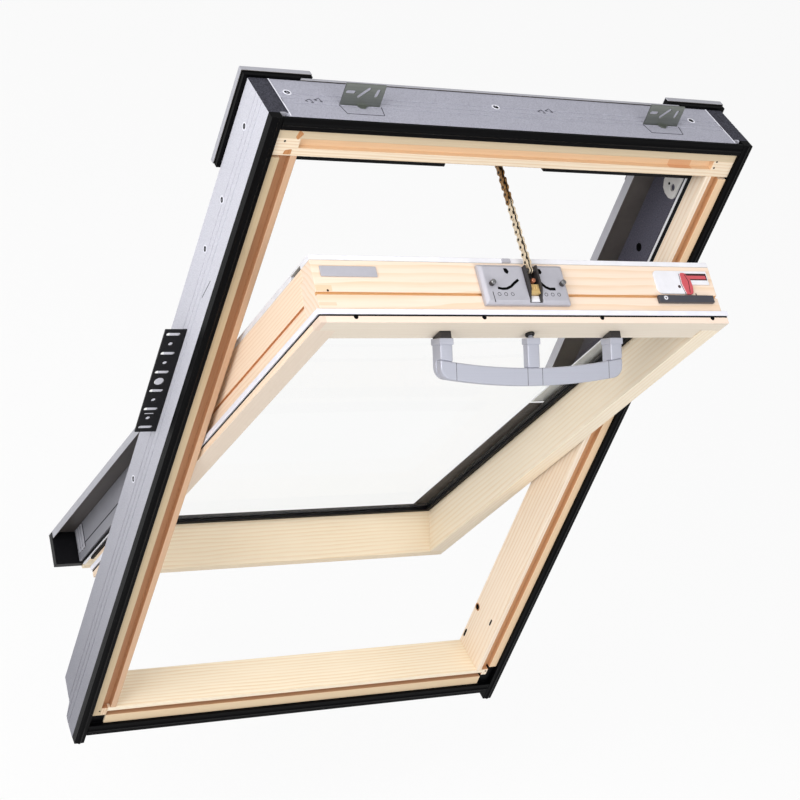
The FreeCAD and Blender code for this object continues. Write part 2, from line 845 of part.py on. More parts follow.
def chain_bracket():
    """U-shaped bracket with the pin that holds the chain's end."""
    base = box(-yoke_half, yoke_half, yoke_near, yoke_far, sash_top, sash_top + yoke_base)
    top = sash_top + yoke_height
    outline = [(yoke_near, sash_top), (yoke_near, sash_top + 7), (yoke_near + 20, top), (yoke_far, top),
               (yoke_far, sash_top)]
    wall = along_x(outline, yoke_half - yoke_wall, yoke_half)
    pin = rod_x(pin_radius, -yoke_half, yoke_half, pin_y, pin_z)
    bracket = join(base, wall, mirrored(wall), pin)
    bracket.translate(Vector(chain_x, 0, 0))
    return bracket


def push_chain():
    """One fixed run of links from the drive's pin to the bracket's pin."""
    start = Vector(0, drive_pin_y, opening_top - drive_pin_drop)
    end = sash_point(pin_y, pin_z)
    run = end - start
    count = round(run.Length / link_pitch)
    step = run * (1.0 / count)
    chain = None
    for i in range(count + 1):
        spot = start + step * i
        roller = rod_x(link_radius, -link_half, link_half, spot.y, spot.z)
        chain = roller if chain is None else chain.fuse(roller)
    across = Vector(0, -run.z, run.y)
    across.normalize()
    side = across * (link_bar / 2)
    corners = [start + side, end + side, end - side, start - side]
    bar = along_x([(c.y, c.z) for c in corners], 1 - link_half, link_half - 1)
    chain = chain.fuse(bar)
    for spot in (start, end):
        chain = chain.cut(rod_x(pin_radius + pin_play, -link_half - 1, link_half + 1, spot.y, spot.z))
    chain = chain.removeSplitter()
    chain.translate(Vector(chain_x, 0, 0))
    return chain


def latch_plate():
    return box(latch_left, latch_right, latch_near, latch_far, sash_top, sash_top + latch_thick)


def latch_bolt():
    return box(bolt_left, bolt_right, bolt_near, bolt_far, sash_top, sash_top + bolt_height)


def corner_strip():
    return box(strip_left, strip_right, strip_near, strip_far, sash_top, sash_top + latch_thick)


def frame_hinge():
    """Right pivot plate on the jamb, with its boss and stub towards the sash."""
    wall = opening_half - hinge_plate
    plate_body = box(wall, opening_half, hinge_front, hinge_back, pivot_z - hinge_rise, pivot_z + hinge_rise)
    gap_middle = (sash_half + wall) / 2
    boss = rod_x(hinge_radius, gap_middle, wall, pivot_y, pivot_z)
    stub = rod_x(stub_radius, sash_half, wall, pivot_y, pivot_z)
    return join(plate_body, boss, stub)


def save(node, *shapes):
    moved = []
    for shape in shapes:
        copy = shape.copy()
        copy.translate(frame_origin.negative())
        moved.append(copy)
    solid = moved[0] if len(moved) == 1 else Part.makeCompound(moved)
    solid.exportStep("parts/" + node + ".step")


def save_pair(node, shape):
    save(node, mirrored(shape), shape)


def save_frame():
    save("frame_head", frame_head())
    save("frame_sill", frame_sill())
    save("frame_left_jamb", mirrored(right_jamb(left_band_end, left_band_end)))
    save("frame_right_jamb", right_jamb(right_band_end, right_tongue_end))
    save("insulation_head", collar_head_block())
    save("insulation_sill", collar_sill_block())
    save("insulation_left", mirrored(collar_right_block()))
    save("insulation_right", collar_right_block())
    save("edge_trim", *edge_trims())


def save_brackets():
    save("left_bracket", mirrored(right_bracket()))
    save("right_bracket", right_bracket())
    save("head_brackets", head_bracket(-head_bracket_x), head_bracket(head_bracket_x))


def save_covers():
    save_pair("side_covers", channel_cover())
    save_pair("corner_covers", corner_cover())
    save_pair("corner_packing", corner_packing())
    save("head_cover", head_cover())
    save_pair("lower_flashings", lower_flashing())
    save("sill_flashing", sill_flashing())


def save_frame_fittings():
    save("head_seals", *head_seals())
    save_pair("jamb_seals", jamb_seal())
    save_pair("jamb_strips", jamb_strip())
    save_pair("jamb_liners", jamb_liner())
    save_pair("guide_plates", guide_plate())
    save("drive_housing", drive_housing())
    save("push_chain", push_chain())
    save_pair("pivot_hinges", frame_hinge())


def save_sash():
    save("sash_top_rail", to_window(top_rail()))
    save("sash_bottom_rail", to_window(bottom_rail()))
    save("sash_left_stile", to_window(mirrored(stile_between_rails())))
    save("sash_right_stile", to_window(stile_between_rails()))
    save("sash_edge_strips", *[to_window(strip) for strip in edge_strips()])
    save("sash_seal", to_window(sash_seal()))
    save("glass_pane", to_window(glass_pane()))
    save("glazing_gasket", to_window(glazing_gasket()))
    save("sash_outer_trims", *[to_window(strip) for strip in outer_trims()])
    save("sash_side_covers", to_window(mirrored(side_wing())), to_window(side_wing()))
    save("sash_side_trims", to_window(mirrored(side_trim())), to_window(side_trim()))
    save("sash_bottom_cover", to_window(bottom_cover()))
    save("cover_end_caps", to_window(mirrored(end_cap())), to_window(end_cap()))


def save_sash_fittings():
    save("pull_bar", to_window(pull_bar()))
    save("pull_bar_legs", *[to_window(leg) for leg in bar_legs()])
    save("pull_bar_bases", *[to_window(base) for base in bar_bases()])
    save("lock_case", to_window(lock_case()))
    save("chain_bracket", to_window(chain_bracket()))
    save("latch_plate", to_window(latch_plate()))
    save("latch_bolt", to_window(latch_bolt()))
    save("corner_strip", to_window(corner_strip()))


save_frame()
save_brackets()
save_covers()
save_frame_fittings()
save_sash()
save_sash_fittings()
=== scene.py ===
import json
import math

import bmesh
import bpy
from mathutils import Euler, Matrix, Vector


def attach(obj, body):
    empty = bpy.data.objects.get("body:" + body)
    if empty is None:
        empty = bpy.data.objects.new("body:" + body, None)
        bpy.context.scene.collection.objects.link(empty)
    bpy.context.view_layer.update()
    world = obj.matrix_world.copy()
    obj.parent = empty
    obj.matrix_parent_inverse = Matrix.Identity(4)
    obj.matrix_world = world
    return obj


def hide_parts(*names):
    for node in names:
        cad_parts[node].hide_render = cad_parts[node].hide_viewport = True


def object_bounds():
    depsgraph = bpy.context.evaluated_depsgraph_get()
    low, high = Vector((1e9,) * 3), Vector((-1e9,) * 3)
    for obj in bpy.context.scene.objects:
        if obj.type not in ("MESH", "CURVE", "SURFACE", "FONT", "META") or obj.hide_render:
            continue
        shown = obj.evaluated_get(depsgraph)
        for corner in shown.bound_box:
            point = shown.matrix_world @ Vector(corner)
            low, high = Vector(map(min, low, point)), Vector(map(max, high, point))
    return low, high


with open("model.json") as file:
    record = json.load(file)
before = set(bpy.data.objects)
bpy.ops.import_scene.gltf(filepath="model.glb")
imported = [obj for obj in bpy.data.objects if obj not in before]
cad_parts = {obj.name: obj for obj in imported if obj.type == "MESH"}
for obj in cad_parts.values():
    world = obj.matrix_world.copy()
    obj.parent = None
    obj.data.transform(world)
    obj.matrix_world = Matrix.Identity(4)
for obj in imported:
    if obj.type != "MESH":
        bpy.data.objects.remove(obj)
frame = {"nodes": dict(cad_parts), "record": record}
cad_low, cad_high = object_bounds()
MM = 0.001
BODY = "root"

# Two sets of coordinates in millimetres: the window's, and the sash's, which is turned open.
# In both x runs across and y outwards; the sash's y starts at its room face, its z at its top edge.
OPEN_ANGLE = math.radians(25.0)
FRAME_ORIGIN = Vector((-426.0, 47.0, 727.125))
PIVOT = Vector((0.0, 101.0, 590.0))
CLOSED = Vector((0.0, 10.5, 1082.3))
SASH_TURN = Matrix.Rotation(OPEN_ANGLE, 4, "X")
WINDOW = Matrix.Scale(MM, 4) @ Matrix.Translation(-FRAME_ORIGIN)
SASH = WINDOW @ Matrix.Translation(PIVOT) @ SASH_TURN @ Matrix.Translation(CLOSED - PIVOT)

OPENING_HALF = 350.0
OPENING_TOP = 1137.0
COLLAR_HALF = 407.0
COLLAR_TOP = 1199.0
CORE_HALF = 379.0
STILE_INNER = 311.0
RIM_HALF = 345.0
SASH_TOP = -3.0
CASE_TOP = 8.0
GROOVE_DEPTH = 9.0
SASH_HALF = 340.0
SIDE_TRIM_HALF = 349.0

# Height at which a small raised detail starts, just below the face it stands on.
SUNK = -0.3


# Materials

PINE_ROUGHNESS = 0.45
RING_BEND = 16.0
TINT_STRENGTH = 0.85
# Noise scales per millimetre: how the rings drift and how the fibres run.
DRIFT_ALONG = 0.0022
DRIFT_ACROSS = 0.011
FIBRE_ALONG = 0.014
FIBRE_ACROSS = 0.9
FOAM_ROUGHNESS = 0.75
# The side foam takes painted shade towards its foot: height of full light, and the darker tone painted at the
# foot.
FOAM_LIT_HEIGHT = 1000.0
FOAM_FOOT_SHADE = (0.5, 0.5, 0.51)
COAT_GRIT = 0.05
WHITE = (1.0, 1.0, 1.0)


class Shader:
    """A material with its principled shader and short ways to add nodes."""

    def __init__(self, name, color, roughness, **inputs):
        self.material = bpy.data.materials.new(name)
        self.material.use_nodes = True
        self.tree = self.material.node_tree
        self.principled = self.tree.nodes["Principled BSDF"]
        self.set(self.principled, "Base Color", (*color, 1.0))
        self.set(self.principled, "Roughness", roughness)
        for key, value in inputs.items():
            self.set(self.principled, key.replace("_", " "), value)
        self.coords = self.node("ShaderNodeTexCoord").outputs["Object"]

    def node(self, kind, **settings):
        made = self.tree.nodes.new(kind)
        for key, value in settings.items():
            setattr(made, key, value)
        return made

    def set(self, node, socket, value):
        if isinstance(value, bpy.types.NodeSocket):
            self.tree.links.new(value, node.inputs[socket])
        else:
            node.inputs[socket].default_value = value

    def math(self, operation, first, second=0.0, third=0.0):
        made = self.node("ShaderNodeMath", operation=operation)
        for index, value in enumerate((first, second, third)):
            self.set(made, index, value)
        return made.outputs[0]

    def millimetres(self, space):
        """Position in window or sash millimetres."""
        made = self.node("ShaderNodeMapping")
        place = space.inverted()
        self.set(made, "Vector", self.coords)
        self.set(made, "Scale", (1 / MM, 1 / MM, 1 / MM))
        self.set(made, "Rotation", place.to_euler())
        self.set(made, "Location", place.to_translation())
        return made.outputs[0]

    def split(self, vector):
        made = self.node("ShaderNodeSeparateXYZ")
        self.set(made, 0, vector)
        return made.outputs

    def scaled(self, vector, factors):
        made = self.node("ShaderNodeVectorMath", operation="MULTIPLY")
        self.set(made, 0, vector)
        self.set(made, 1, factors)
        return made.outputs[0]

    def noise(self, scale, detail=3.0, rough=0.55, source=None):
        made = self.node("ShaderNodeTexNoise")
        self.set(made, "Vector", source or self.coords)
        self.set(made, "Scale", scale)
        self.set(made, "Detail", detail)
        self.set(made, "Roughness", rough)
        return made.outputs["Fac"]

    def inside(self, *ranges):
        """One where every value lies in its range."""
        mask = None
        for value, low, high in ranges:
            test = self.math("COMPARE", value, (low + high) / 2, (high - low) / 2)
            mask = test if mask is None else self.math("MULTIPLY", mask, test)
        return mask

    def ramp(self, fac, *stops):
        made = self.node("ShaderNodeValToRGB")
        elements = made.color_ramp.elements
        while len(elements) < len(stops):
            elements.new(0.5)
        for element, (place, color) in zip(elements, stops):
            element.position = place
            element.color = (*color, 1.0)
        self.set(made, "Fac", fac)
        return made.outputs["Color"]

    def mix(self, fac, first, second, blend="MIX"):
        made = self.node("ShaderNodeMix", data_type="RGBA", blend_type=blend)
        self.set(made, 0, fac)
        for socket, value in ((6, first), (7, second)):
            plain = not isinstance(value, bpy.types.NodeSocket)
            self.set(made, socket, (*value, 1.0) if plain else value)
        return made.outputs[2]

    def color(self, value):
        self.set(self.principled, "Base Color", value)

    def rough(self, cloud, middle, spread):
        """Roughness that varies with cloud around its middle value."""
        self.set(self.principled, "Roughness",
                 self.math("ADD", self.math("MULTIPLY", cloud, spread), middle - spread / 2))

    def bump(self, height, strength, distance):
        made = self.node("ShaderNodeBump")
        self.set(made, "Height", height)
        self.set(made, "Strength", strength)
        self.set(made, "Distance", distance)
        self.set(self.principled, "Normal", made.outputs["Normal"])


def srgb(red, green, blue):
    """Linear colour of an 8-bit display colour."""
    def linear(value):
        value /= 255.0
        return value / 12.92 if value <= 0.04045 else ((value + 0.055) / 1.055) ** 2.4
    return tuple(linear(value) for value in (red, green, blue))


def shade(color, factor):
    return tuple(min(1.0, value * factor) for value in color)


def grain_scale(along, on_grain, across):
    """Noise scales for wood whose grain runs along x or z."""
    return (on_grain, across, across) if along == "x" else (across, across, on_grain)


def pine(name, space, along, light, dark, ring, centre, tints=()):
    """Lacquered pine: growth rings of one width round an axis beside the member, fine fibres along it.

    A tint is a colour with the ranges of x, y and z, in millimetres, where it takes over; most tints here are
    painted shade, on room faces and in grooves, and a few are end grain.
    """
    shader = Shader(name, srgb(*light), PINE_ROUGHNESS, Specular_IOR_Level=0.3)
    place = shader.millimetres(space)
    parts = dict(zip("xyz", shader.split(place)))
    across = parts["z"] if along == "x" else parts["x"]
    run = grain_scale(along, DRIFT_ALONG, DRIFT_ACROSS)
    fibre_run = grain_scale(along, FIBRE_ALONG, FIBRE_ACROSS)
    drift = shader.noise(1.0, 2.0, 0.5, shader.scaled(place, run))
    wobble = shader.noise(5.0, 3.0, 0.5, shader.scaled(place, run))
    off_axis = shader.math("ADD", across, centre[0])
    depth = shader.math("ADD", parts["y"], centre[1])
    radius = shader.math("SQRT", shader.math("ADD", shader.math("POWER", off_axis, 2.0),
                                             shader.math("POWER", depth, 2.0)))
    bent = shader.math("ADD", radius, shader.math("MULTIPLY", drift, RING_BEND))
    bent = shader.math("ADD", bent, shader.math("MULTIPLY", wobble, RING_BEND * 0.2))
    rings = shader.math("FRACT", shader.math("DIVIDE", bent, ring))
    grain = shader.ramp(rings, (0.0, srgb(*light)), (0.4, srgb(*light)),
                        (0.84, srgb(*dark)), (0.95, srgb(*dark)), (1.0, srgb(*light)))
    patches = shader.noise(3.0, 3.0, 0.5, shader.scaled(place, run))
    color = shader.mix(patches, grain, srgb(*light))
    for tint, ranges in tints:
        tests = [(parts[axis], low, high) for axis, (low, high) in ranges.items()]
        share = shader.math("MULTIPLY", shader.inside(*tests), TINT_STRENGTH)
        color = shader.mix(share, color, srgb(*tint))
    fibres = shader.noise(1.0, 4.0, 0.6, shader.scaled(place, fibre_run))
    fine = shader.ramp(fibres, (0.25, (0.9, 0.87, 0.83)), (0.6, WHITE))
    shader.color(shader.mix(0.5, color, fine, "MULTIPLY"))
    shader.rough(patches, PINE_ROUGHNESS, 0.12)
    shader.bump(shader.math("ADD", fibres, shader.math("MULTIPLY", rings, 0.4)), 0.1, 0.0004)
    return shader.material


def foam(name, color, low, end=None):
    """Rigid moulded foam with a fine speckled skin.

    With end, the colour of its darker top end, it is the side foam and takes painted shade towards its foot.
    """
    shader = Shader(name, srgb(*color), FOAM_ROUGHNESS, Specular_IOR_Level=0.2)
    speckle = shader.noise(620.0, 2.0, 0.7)
    clouds = shader.noise(24.0, 4.0, 0.6)
    tone = shader.ramp(speckle, (0.32, srgb(*low)), (0.6, srgb(*color)))
    tone = shader.mix(shader.math("MULTIPLY", clouds, 0.3), tone, srgb(*low))
    if end:
        # Painted shade: the side foam darkens from its full colour high up to a darker tone at its foot.
        height = shader.split(shader.millimetres(WINDOW))[2]
        rise = shader.math("DIVIDE", height, FOAM_LIT_HEIGHT)
        tone = shader.mix(1.0, tone, shader.ramp(rise, (0.05, FOAM_FOOT_SHADE), (0.9, WHITE)), "MULTIPLY")
        top_end_tone = shader.ramp(speckle, (0.35, shade(srgb(*end), 0.3)), (0.7, shade(srgb(*end), 1.5)))
        tone = shader.mix(shader.inside((height, COLLAR_TOP - 1.0, COLLAR_TOP + 1.0)), tone, top_end_tone)
    shader.color(tone)
    shader.rough(clouds, FOAM_ROUGHNESS, 0.15)
    shader.bump(shader.math("ADD", speckle, clouds), 0.3, 0.0006)
    return shader.material


def coated(name, color, roughness, metallic=0.0, inside=None):
    """Painted or moulded surface with slight mottling; inside is painted shade, the colour it takes on its faces
    towards the room.
    """
    shader = Shader(name, srgb(*color), roughness, Metallic=metallic)
    cloud = shader.noise(38.0, 4.0, 0.6)
    grain = shader.noise(1400.0, 2.0, 0.6)
    tone = shader.ramp(cloud, (0.3, shade(srgb(*color), 0.9)), (0.7, srgb(*color)))
    if inside:
        # Painted shade: faces towards the room take the darker inside colour.
        normal = shader.split(shader.node("ShaderNodeNewGeometry").outputs["Normal"])[1]
        room_face_shade = shader.ramp(cloud, (0.3, shade(srgb(*inside), 0.8)), (0.7, srgb(*inside)))
        tone = shader.mix(shader.math("LESS_THAN", normal, -0.6), tone, room_face_shade)
    shader.color(tone)
    shader.rough(cloud, roughness, 0.12)
    shader.bump(grain, COAT_GRIT, 0.0003)
    return shader.material


def textured_black(name, color, roughness, pore, strength, shine=0.15, lift=1.8):
    """Dark foam, rubber or powder coat with a pored surface."""
    shader = Shader(name, srgb(*color), roughness, Specular_IOR_Level=shine)
    pores = shader.noise(pore, 3.0, 0.7)
    shader.color(shader.ramp(pores, (0.4, srgb(*color)), (0.75, shade(srgb(*color), lift))))
    shader.rough(pores, roughness, 0.1)
    shader.bump(pores, strength, 0.0006)
    return shader.material


def brushed(name, color, roughness, metallic=1.0, depth=0.06, tone=0.85):
    """Metal with fine lines along x."""
    shader = Shader(name, srgb(*color), roughness, Metallic=metallic)
    lines = shader.noise(1.0, 3.0, 0.6, shader.scaled(shader.coords, (4.0, 700.0, 700.0)))
    cloud = shader.noise(30.0, 3.0)
    shader.color(shader.ramp(lines, (0.3, shade(srgb(*color), tone)), (0.7, srgb(*color))))
    shader.rough(cloud, roughness, 0.12)
    shader.bump(lines, depth, 0.0002)
    return shader.material


def clear_glass(name):
    """Clear coated pane that lets light through to what lies behind it."""
    shader = Shader(name, srgb(253, 254, 253), 0.0, IOR=1.06, Transmission_Weight=1.0)
    haze = shader.noise(3.0, 2.0)
    shader.color(shader.ramp(haze, (0.2, srgb(252, 253, 252)), (0.8, srgb(254, 254, 254))))
    through = shader.node("ShaderNodeBsdfTransparent")
    path = shader.node("ShaderNodeLightPath")
    blend = shader.node("ShaderNodeMixShader")
    output = shader.tree.nodes["Material Output"]
    shader.set(blend, 0, path.outputs["Is Shadow Ray"])
    shader.set(blend, 1, shader.principled.outputs[0])
    shader.set(blend, 2, through.outputs[0])
    shader.set(output, "Surface", blend.outputs[0])
    return shader.material


looks = {
    # The head and side foam are one foam: the side foam's paler colour is painted light, as its left face is the
    # lit one.
    "foam_head": foam("foam_head", (178, 178, 190), (150, 150, 162)),
    "foam_side_painted_light": foam("foam_side_painted_light", (214, 214, 223), (190, 190, 200), end=(66, 66, 76)),
    "dark_edge": textured_black("dark_edge", (3, 3, 4), 0.4, 520.0, 0.3, shine=0.06, lift=2.2),
    "black_bracket": textured_black("black_bracket", (16, 16, 18), 0.42, 900.0, 0.15, shine=0.2),
    "zinc": brushed("zinc", (142, 146, 140), 0.42),
    # Painted shade in dark grey-brown on the cover's faces towards the room.
    "cover_grey": coated("cover_grey", (182, 182, 190), 0.42, 0.2, inside=(92, 87, 84)),
    "flashing_grey": coated("flashing_grey", (150, 150, 158), 0.45, 0.2),
    "seal_black": textured_black("seal_black", (8, 8, 10), 0.5, 700.0, 0.12, shine=0.12),
    "strip_white": coated("strip_white", (236, 236, 240), 0.35),
    "liner_dark": textured_black("liner_dark", (74, 73, 84), 0.6, 480.0, 0.4, lift=2.0),
    "guide_pale": coated("guide_pale", (222, 220, 218), 0.4),
    "drive_grey": coated("drive_grey", (70, 70, 76), 0.5),
    "chain_cream": brushed("chain_cream", (226, 208, 180), 0.4, metallic=0.3),
    "chain_bronze": brushed("chain_bronze", (150, 112, 66), 0.4, metallic=0.6),
    "chain_dark": textured_black("chain_dark", (18, 15, 15), 0.4, 900.0, 0.1, shine=0.3),
    "hinge_steel": brushed("hinge_steel", (150, 150, 152), 0.35),
    "edge_white": coated("edge_white", (240, 240, 250), 0.35),
    "glass": clear_glass("glass"),
    "spacer": coated("spacer", (34, 34, 36), 0.4, 0.2),
    # Painted shade in a greyer white on the trim's faces towards the room.
    "trim_white": coated("trim_white", (236, 236, 242), 0.35, inside=(205, 204, 200)),
    "handle_satin": brushed("handle_satin", (180, 182, 194), 0.45, metallic=0.35, depth=0.02, tone=0.96),
    "base_dark": coated("base_dark", (50, 46, 46), 0.45),
    "knob_black": textured_black("knob_black", (8, 8, 9), 0.35, 600.0, 0.05, shine=0.4),
    "case_grey": coated("case_grey", (186, 185, 194), 0.36, 0.25),
    "latch_white": coated("latch_white", (238, 238, 244), 0.33),
    "latch_red": coated("latch_red", (206, 88, 96), 0.3),
    "latch_shade": coated("latch_shade", (52, 20, 24), 0.5),
    "latch_grey": coated("latch_grey", (78, 78, 86), 0.38, 0.3),
    "cap_black": textured_black("cap_black", (12, 12, 15), 0.45, 300.0, 0.12),
    "hole_black": textured_black("hole_black", (5, 5, 6), 0.7, 400.0, 0.1, shine=0.05),
    "rim_pale": foam("rim_pale", (238, 238, 246), (222, 222, 232)),
    "mark_grey": textured_black("mark_grey", (52, 52, 60), 0.7, 500.0, 0.1, shine=0.1),
    "brass": brushed("brass", (222, 190, 128), 0.38, metallic=0.4),
    "copper": brushed("copper", (176, 112, 84), 0.35, metallic=0.5),
    "stile_corner": pine("pine_stile_corner", SASH, "z", (226, 214, 196), (214, 196, 172), 5.0, (420.0, 90.0)),
    "knot": pine("pine_knot", WINDOW, "z", (196, 140, 92), (170, 112, 66), 3.0, (380.0, 20.0)),
}

ROOM_FACE = (-1.0, 0.6)
IN_GROOVE = (0.4, GROOVE_DEPTH + 0.5)
HEAD_BAND = (OPENING_TOP + 28.0, OPENING_TOP + 60.0)
HEAD_GROOVE = (OPENING_TOP + 12.6, OPENING_TOP + 28.4)
LEFT_OUTER = (-400.0, -374.6)
LEFT_GROOVE = (-375.4, -359.6)
LEFT_INNER = (-360.4, -349.0)
RIGHT_OUTER = (374.6, 400.0)
RIGHT_GROOVE = (359.6, 375.4)
FINGER_GROOVE = (43.6, 48.4)
TOP_FACE = (-3.6, -2.0)

pine_looks = {
    # Painted shade: a darker band on the head's room face beside the foam, and a darker groove, darker still from
    # x 274 to 316.
    "frame_head": pine(
        "pine_frame_head", WINDOW, "x", (241, 224, 200), (222, 190, 152), 5.0, (-900.0, 90.0), tints=(
            ((206, 187, 156), {"y": ROOM_FACE, "z": HEAD_BAND}),
            ((234, 198, 158), {"y": IN_GROOVE, "z": HEAD_GROOVE}),
            ((224, 172, 128), {"x": (274.0, 316.0), "y": IN_GROOVE, "z": HEAD_GROOVE}))),
    # Painted shade: a darker groove and a darker band on the sill's room face below it.
    "frame_sill": pine(
        "pine_frame_sill", WINDOW, "x", (246, 232, 208), (230, 200, 158), 7.0, (20.0, 160.0), tints=(
            ((176, 126, 84), {"y": IN_GROOVE, "z": (18.6, 29.4)}),
            ((222, 196, 160), {"y": ROOM_FACE, "z": (-1.0, 19.4)}))),
    # Painted shade: the left jamb is coloured darker than the right one, with darker bands on its room face beside
    # the foam and by the opening, and a darker groove.
    "frame_left_jamb": pine(
        "pine_left_jamb", WINDOW, "z", (228, 202, 172), (206, 166, 126), 4.5, (520.0, 60.0), tints=(
            ((198, 178, 144), {"y": ROOM_FACE, "x": LEFT_OUTER}),
            ((172, 116, 74), {"y": IN_GROOVE, "x": LEFT_GROOVE}),
            ((206, 166, 134), {"y": ROOM_FACE, "x": LEFT_INNER}))),
    # Painted shade: a darker band on the right jamb's room face beside the foam, and a darker groove.
    "frame_right_jamb": pine(
        "pine_right_jamb", WINDOW, "z", (247, 230, 210), (228, 196, 160), 5.5, (-250.0, 60.0), tints=(
            ((232, 198, 158), {"y": ROOM_FACE, "x": RIGHT_OUTER}),
            ((206, 150, 98), {"y": IN_GROOVE, "x": RIGHT_GROOVE}))),
    # Painted shade: the top rail's room face is darker than its top face, and its finger groove darker still; the
    # patches at its left end are end grain.
    "sash_top_rail": pine(
        "pine_top_rail", SASH, "x", (242, 221, 202), (230, 198, 162), 8.0, (150.0, 30.0), tints=(
            ((228, 218, 202), {"y": (-1.0, 2.6), "z": (-60.0, -0.6)}),
            ((244, 222, 206), {"y": (0.0, 10.4), "z": (-0.5, 1.0)}),
            ((222, 172, 112), {"y": FINGER_GROOVE, "z": (-8.0, -3.4)}),
            ((232, 200, 166), {"x": (-345.0, -315.0), "y": (49.0, 58.0), "z": TOP_FACE}),
            ((232, 202, 174), {"x": (-345.0, -313.0), "y": (27.0, 32.0), "z": TOP_FACE}),
            ((230, 206, 188), {"x": (-346.0, -336.0), "y": (-1.0, 10.4), "z": (-26.0, 1.0)}))),
    "sash_bottom_rail": pine("pine_bottom_rail", SASH, "x", (243, 228, 202), (230, 202, 164), 6.0, (1020.0, 60.0)),
    # Painted shade: the left stile's room face and its finger groove are darker.
    "sash_left_stile": pine(
        "pine_left_stile", SASH, "z", (247, 224, 200), (232, 200, 168), 5.0, (420.0, 90.0), tints=(
            ((226, 211, 195), {"y": ROOM_FACE, "x": (-346.0, -300.0)}),
            ((216, 150, 96), {"y": FINGER_GROOVE, "x": (-340.4, -335.0)}))),
    "sash_right_stile": pine("pine_right_stile", SASH, "z", (247, 234, 212), (236, 214, 180), 7.0, (-240.0, 40.0)),
}

node_looks = {"insulation_head": "foam_head", "insulation_sill": "foam_head",
              "insulation_left": "foam_side_painted_light", "insulation_right": "foam_side_painted_light", "corner_strip": "case_grey"}
slots = {row["node"]: row["material_slot"] for row in frame["record"]["subparts"]}


def look_of(node):
    if node in pine_looks:
        return pine_looks[node]
    return looks[node_looks.get(node, slots[node])]


# Pieces


def add_piece(name, mesh, look, slot, *nodes):
    """Link a mesh as a piece of the part, with its look and the nodes it stands for; slot is not used."""
    piece = bpy.data.objects.new(name, mesh)
    bpy.context.scene.collection.objects.link(piece)
    mesh.materials.clear()
    mesh.materials.append(look)
    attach(piece, BODY)
    if nodes:
        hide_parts(*nodes)


BEVEL_ANGLE = math.radians(32.0)
WELD = 0.00002
FLAT_ANGLE = math.radians(0.5)


def rounded(mesh, edge, segments=2):
    """Mesh with bevelled edges and even shading."""
    carrier = bpy.data.objects.new("carrier", mesh)
    bpy.context.scene.collection.objects.link(carrier)
    for polygon in mesh.polygons:
        polygon.use_smooth = True
    bevel = carrier.modifiers.new("bevel", "BEVEL")
    bevel.width = edge * MM
    bevel.segments = segments
    bevel.limit_method = "ANGLE"
    bevel.angle_limit = BEVEL_ANGLE
    bevel.miter_outer = "MITER_ARC"
    carrier.modifiers.new("shading", "WEIGHTED_NORMAL").keep_sharp = True
    view = bpy.context.evaluated_depsgraph_get()
    result = bpy.data.meshes.new_from_object(carrier.evaluated_get(view))
    bpy.data.objects.remove(carrier)
    return result


def finished(node, edge):
    """The node's own shape with its edges rounded by edge millimetres."""
    shape = bmesh.new()
    shape.from_mesh(frame["nodes"][node].data)
    bmesh.ops.remove_doubles(shape, verts=shape.verts, dist=WELD)
    bmesh.ops.dissolve_limit(shape, angle_limit=FLAT_ANGLE, verts=shape.verts, edges=shape.edges)
    mesh = bpy.data.meshes.new(node + "_finish")
    shape.to_mesh(mesh)
    shape.free()
    add_piece(node + "_finish", rounded(mesh, edge), look_of(node), slots[node], node)


# Turns that set local z to each direction.
FACINGS = {
    "up": Matrix.Identity(4),
    "room": Matrix(((1, 0, 0, 0), (0, 0, -1, 0), (0, 1, 0, 0), (0, 0, 0, 1))),
    "left": Matrix(((0, 0, -1, 0), (0, 1, 0, 0), (1, 0, 0, 0), (0, 0, 0, 1))),
    "right": Matrix(((0, 0, 1, 0), (0, 1, 0, 0), (-1, 0, 0, 0), (0, 0, 0, 1))),
}


def on(facing, x, y, z, spin=0.0):
    """Placement in millimetres whose local z looks in the facing's direction."""
    turn = Matrix.Rotation(math.radians(spin), 4, "Z")
    return Matrix.Translation((x, y, z)) @ FACINGS[facing] @ turn


def rect(x0, x1, y0, y1):
    return [(x0, y0), (x1, y0), (x1, y1), (x0, y1)]


def circle(x, y, radius, start=0.0, end=360.0, steps=20):
    """Points on an arc, in degrees from +x; a full circle doesn't repeat its first point."""
    count = steps if end - start >= 360.0 else steps + 1
    turns = [math.radians(start + (end - start) * i / steps) for i in range(count)]
    return [(x + radius * math.cos(turn), y + radius * math.sin(turn)) for turn in turns]


def slot_outline(length, width):
    """Round-ended slot along x."""
    run = (length - width) / 2
    return circle(run, 0, width / 2, -90, 90, 8) + circle(-run, 0, width / 2, 90, 270, 8)


CORNER_STEPS = 5


def eased(points, reach):
    """Closed outline with its corners rounded over reach."""
    result = []
    for i, point in enumerate(points):
        here = Vector(point)
        sides = [Vector(points[i - 1]) - here, Vector(points[(i + 1) % len(points)]) - here]
        start, end = [here + side.normalized() * min(reach, side.length * 0.45) for side in sides]
        for step in range(CORNER_STEPS + 1):
            t = step / CORNER_STEPS
            spot = start * (1 - t) ** 2 + here * (2 * t * (1 - t)) + end * t ** 2
            result.append((spot.x, spot.y))
    return result


def stroke(points, width):
    """Outline of a line of the given width through points."""
    spots = [Vector(point) for point in points]
    sides = []
    for i in range(len(spots)):
        ahead = spots[min(i + 1, len(spots) - 1)] - spots[max(i - 1, 0)]
        sides.append(Vector((-ahead.y, ahead.x)).normalized() * (width / 2))
    left = [spot + side for spot, side in zip(spots, sides)]
    right = [spot - side for spot, side in zip(spots, sides)]
    return [(spot.x, spot.y) for spot in right + left[::-1]]


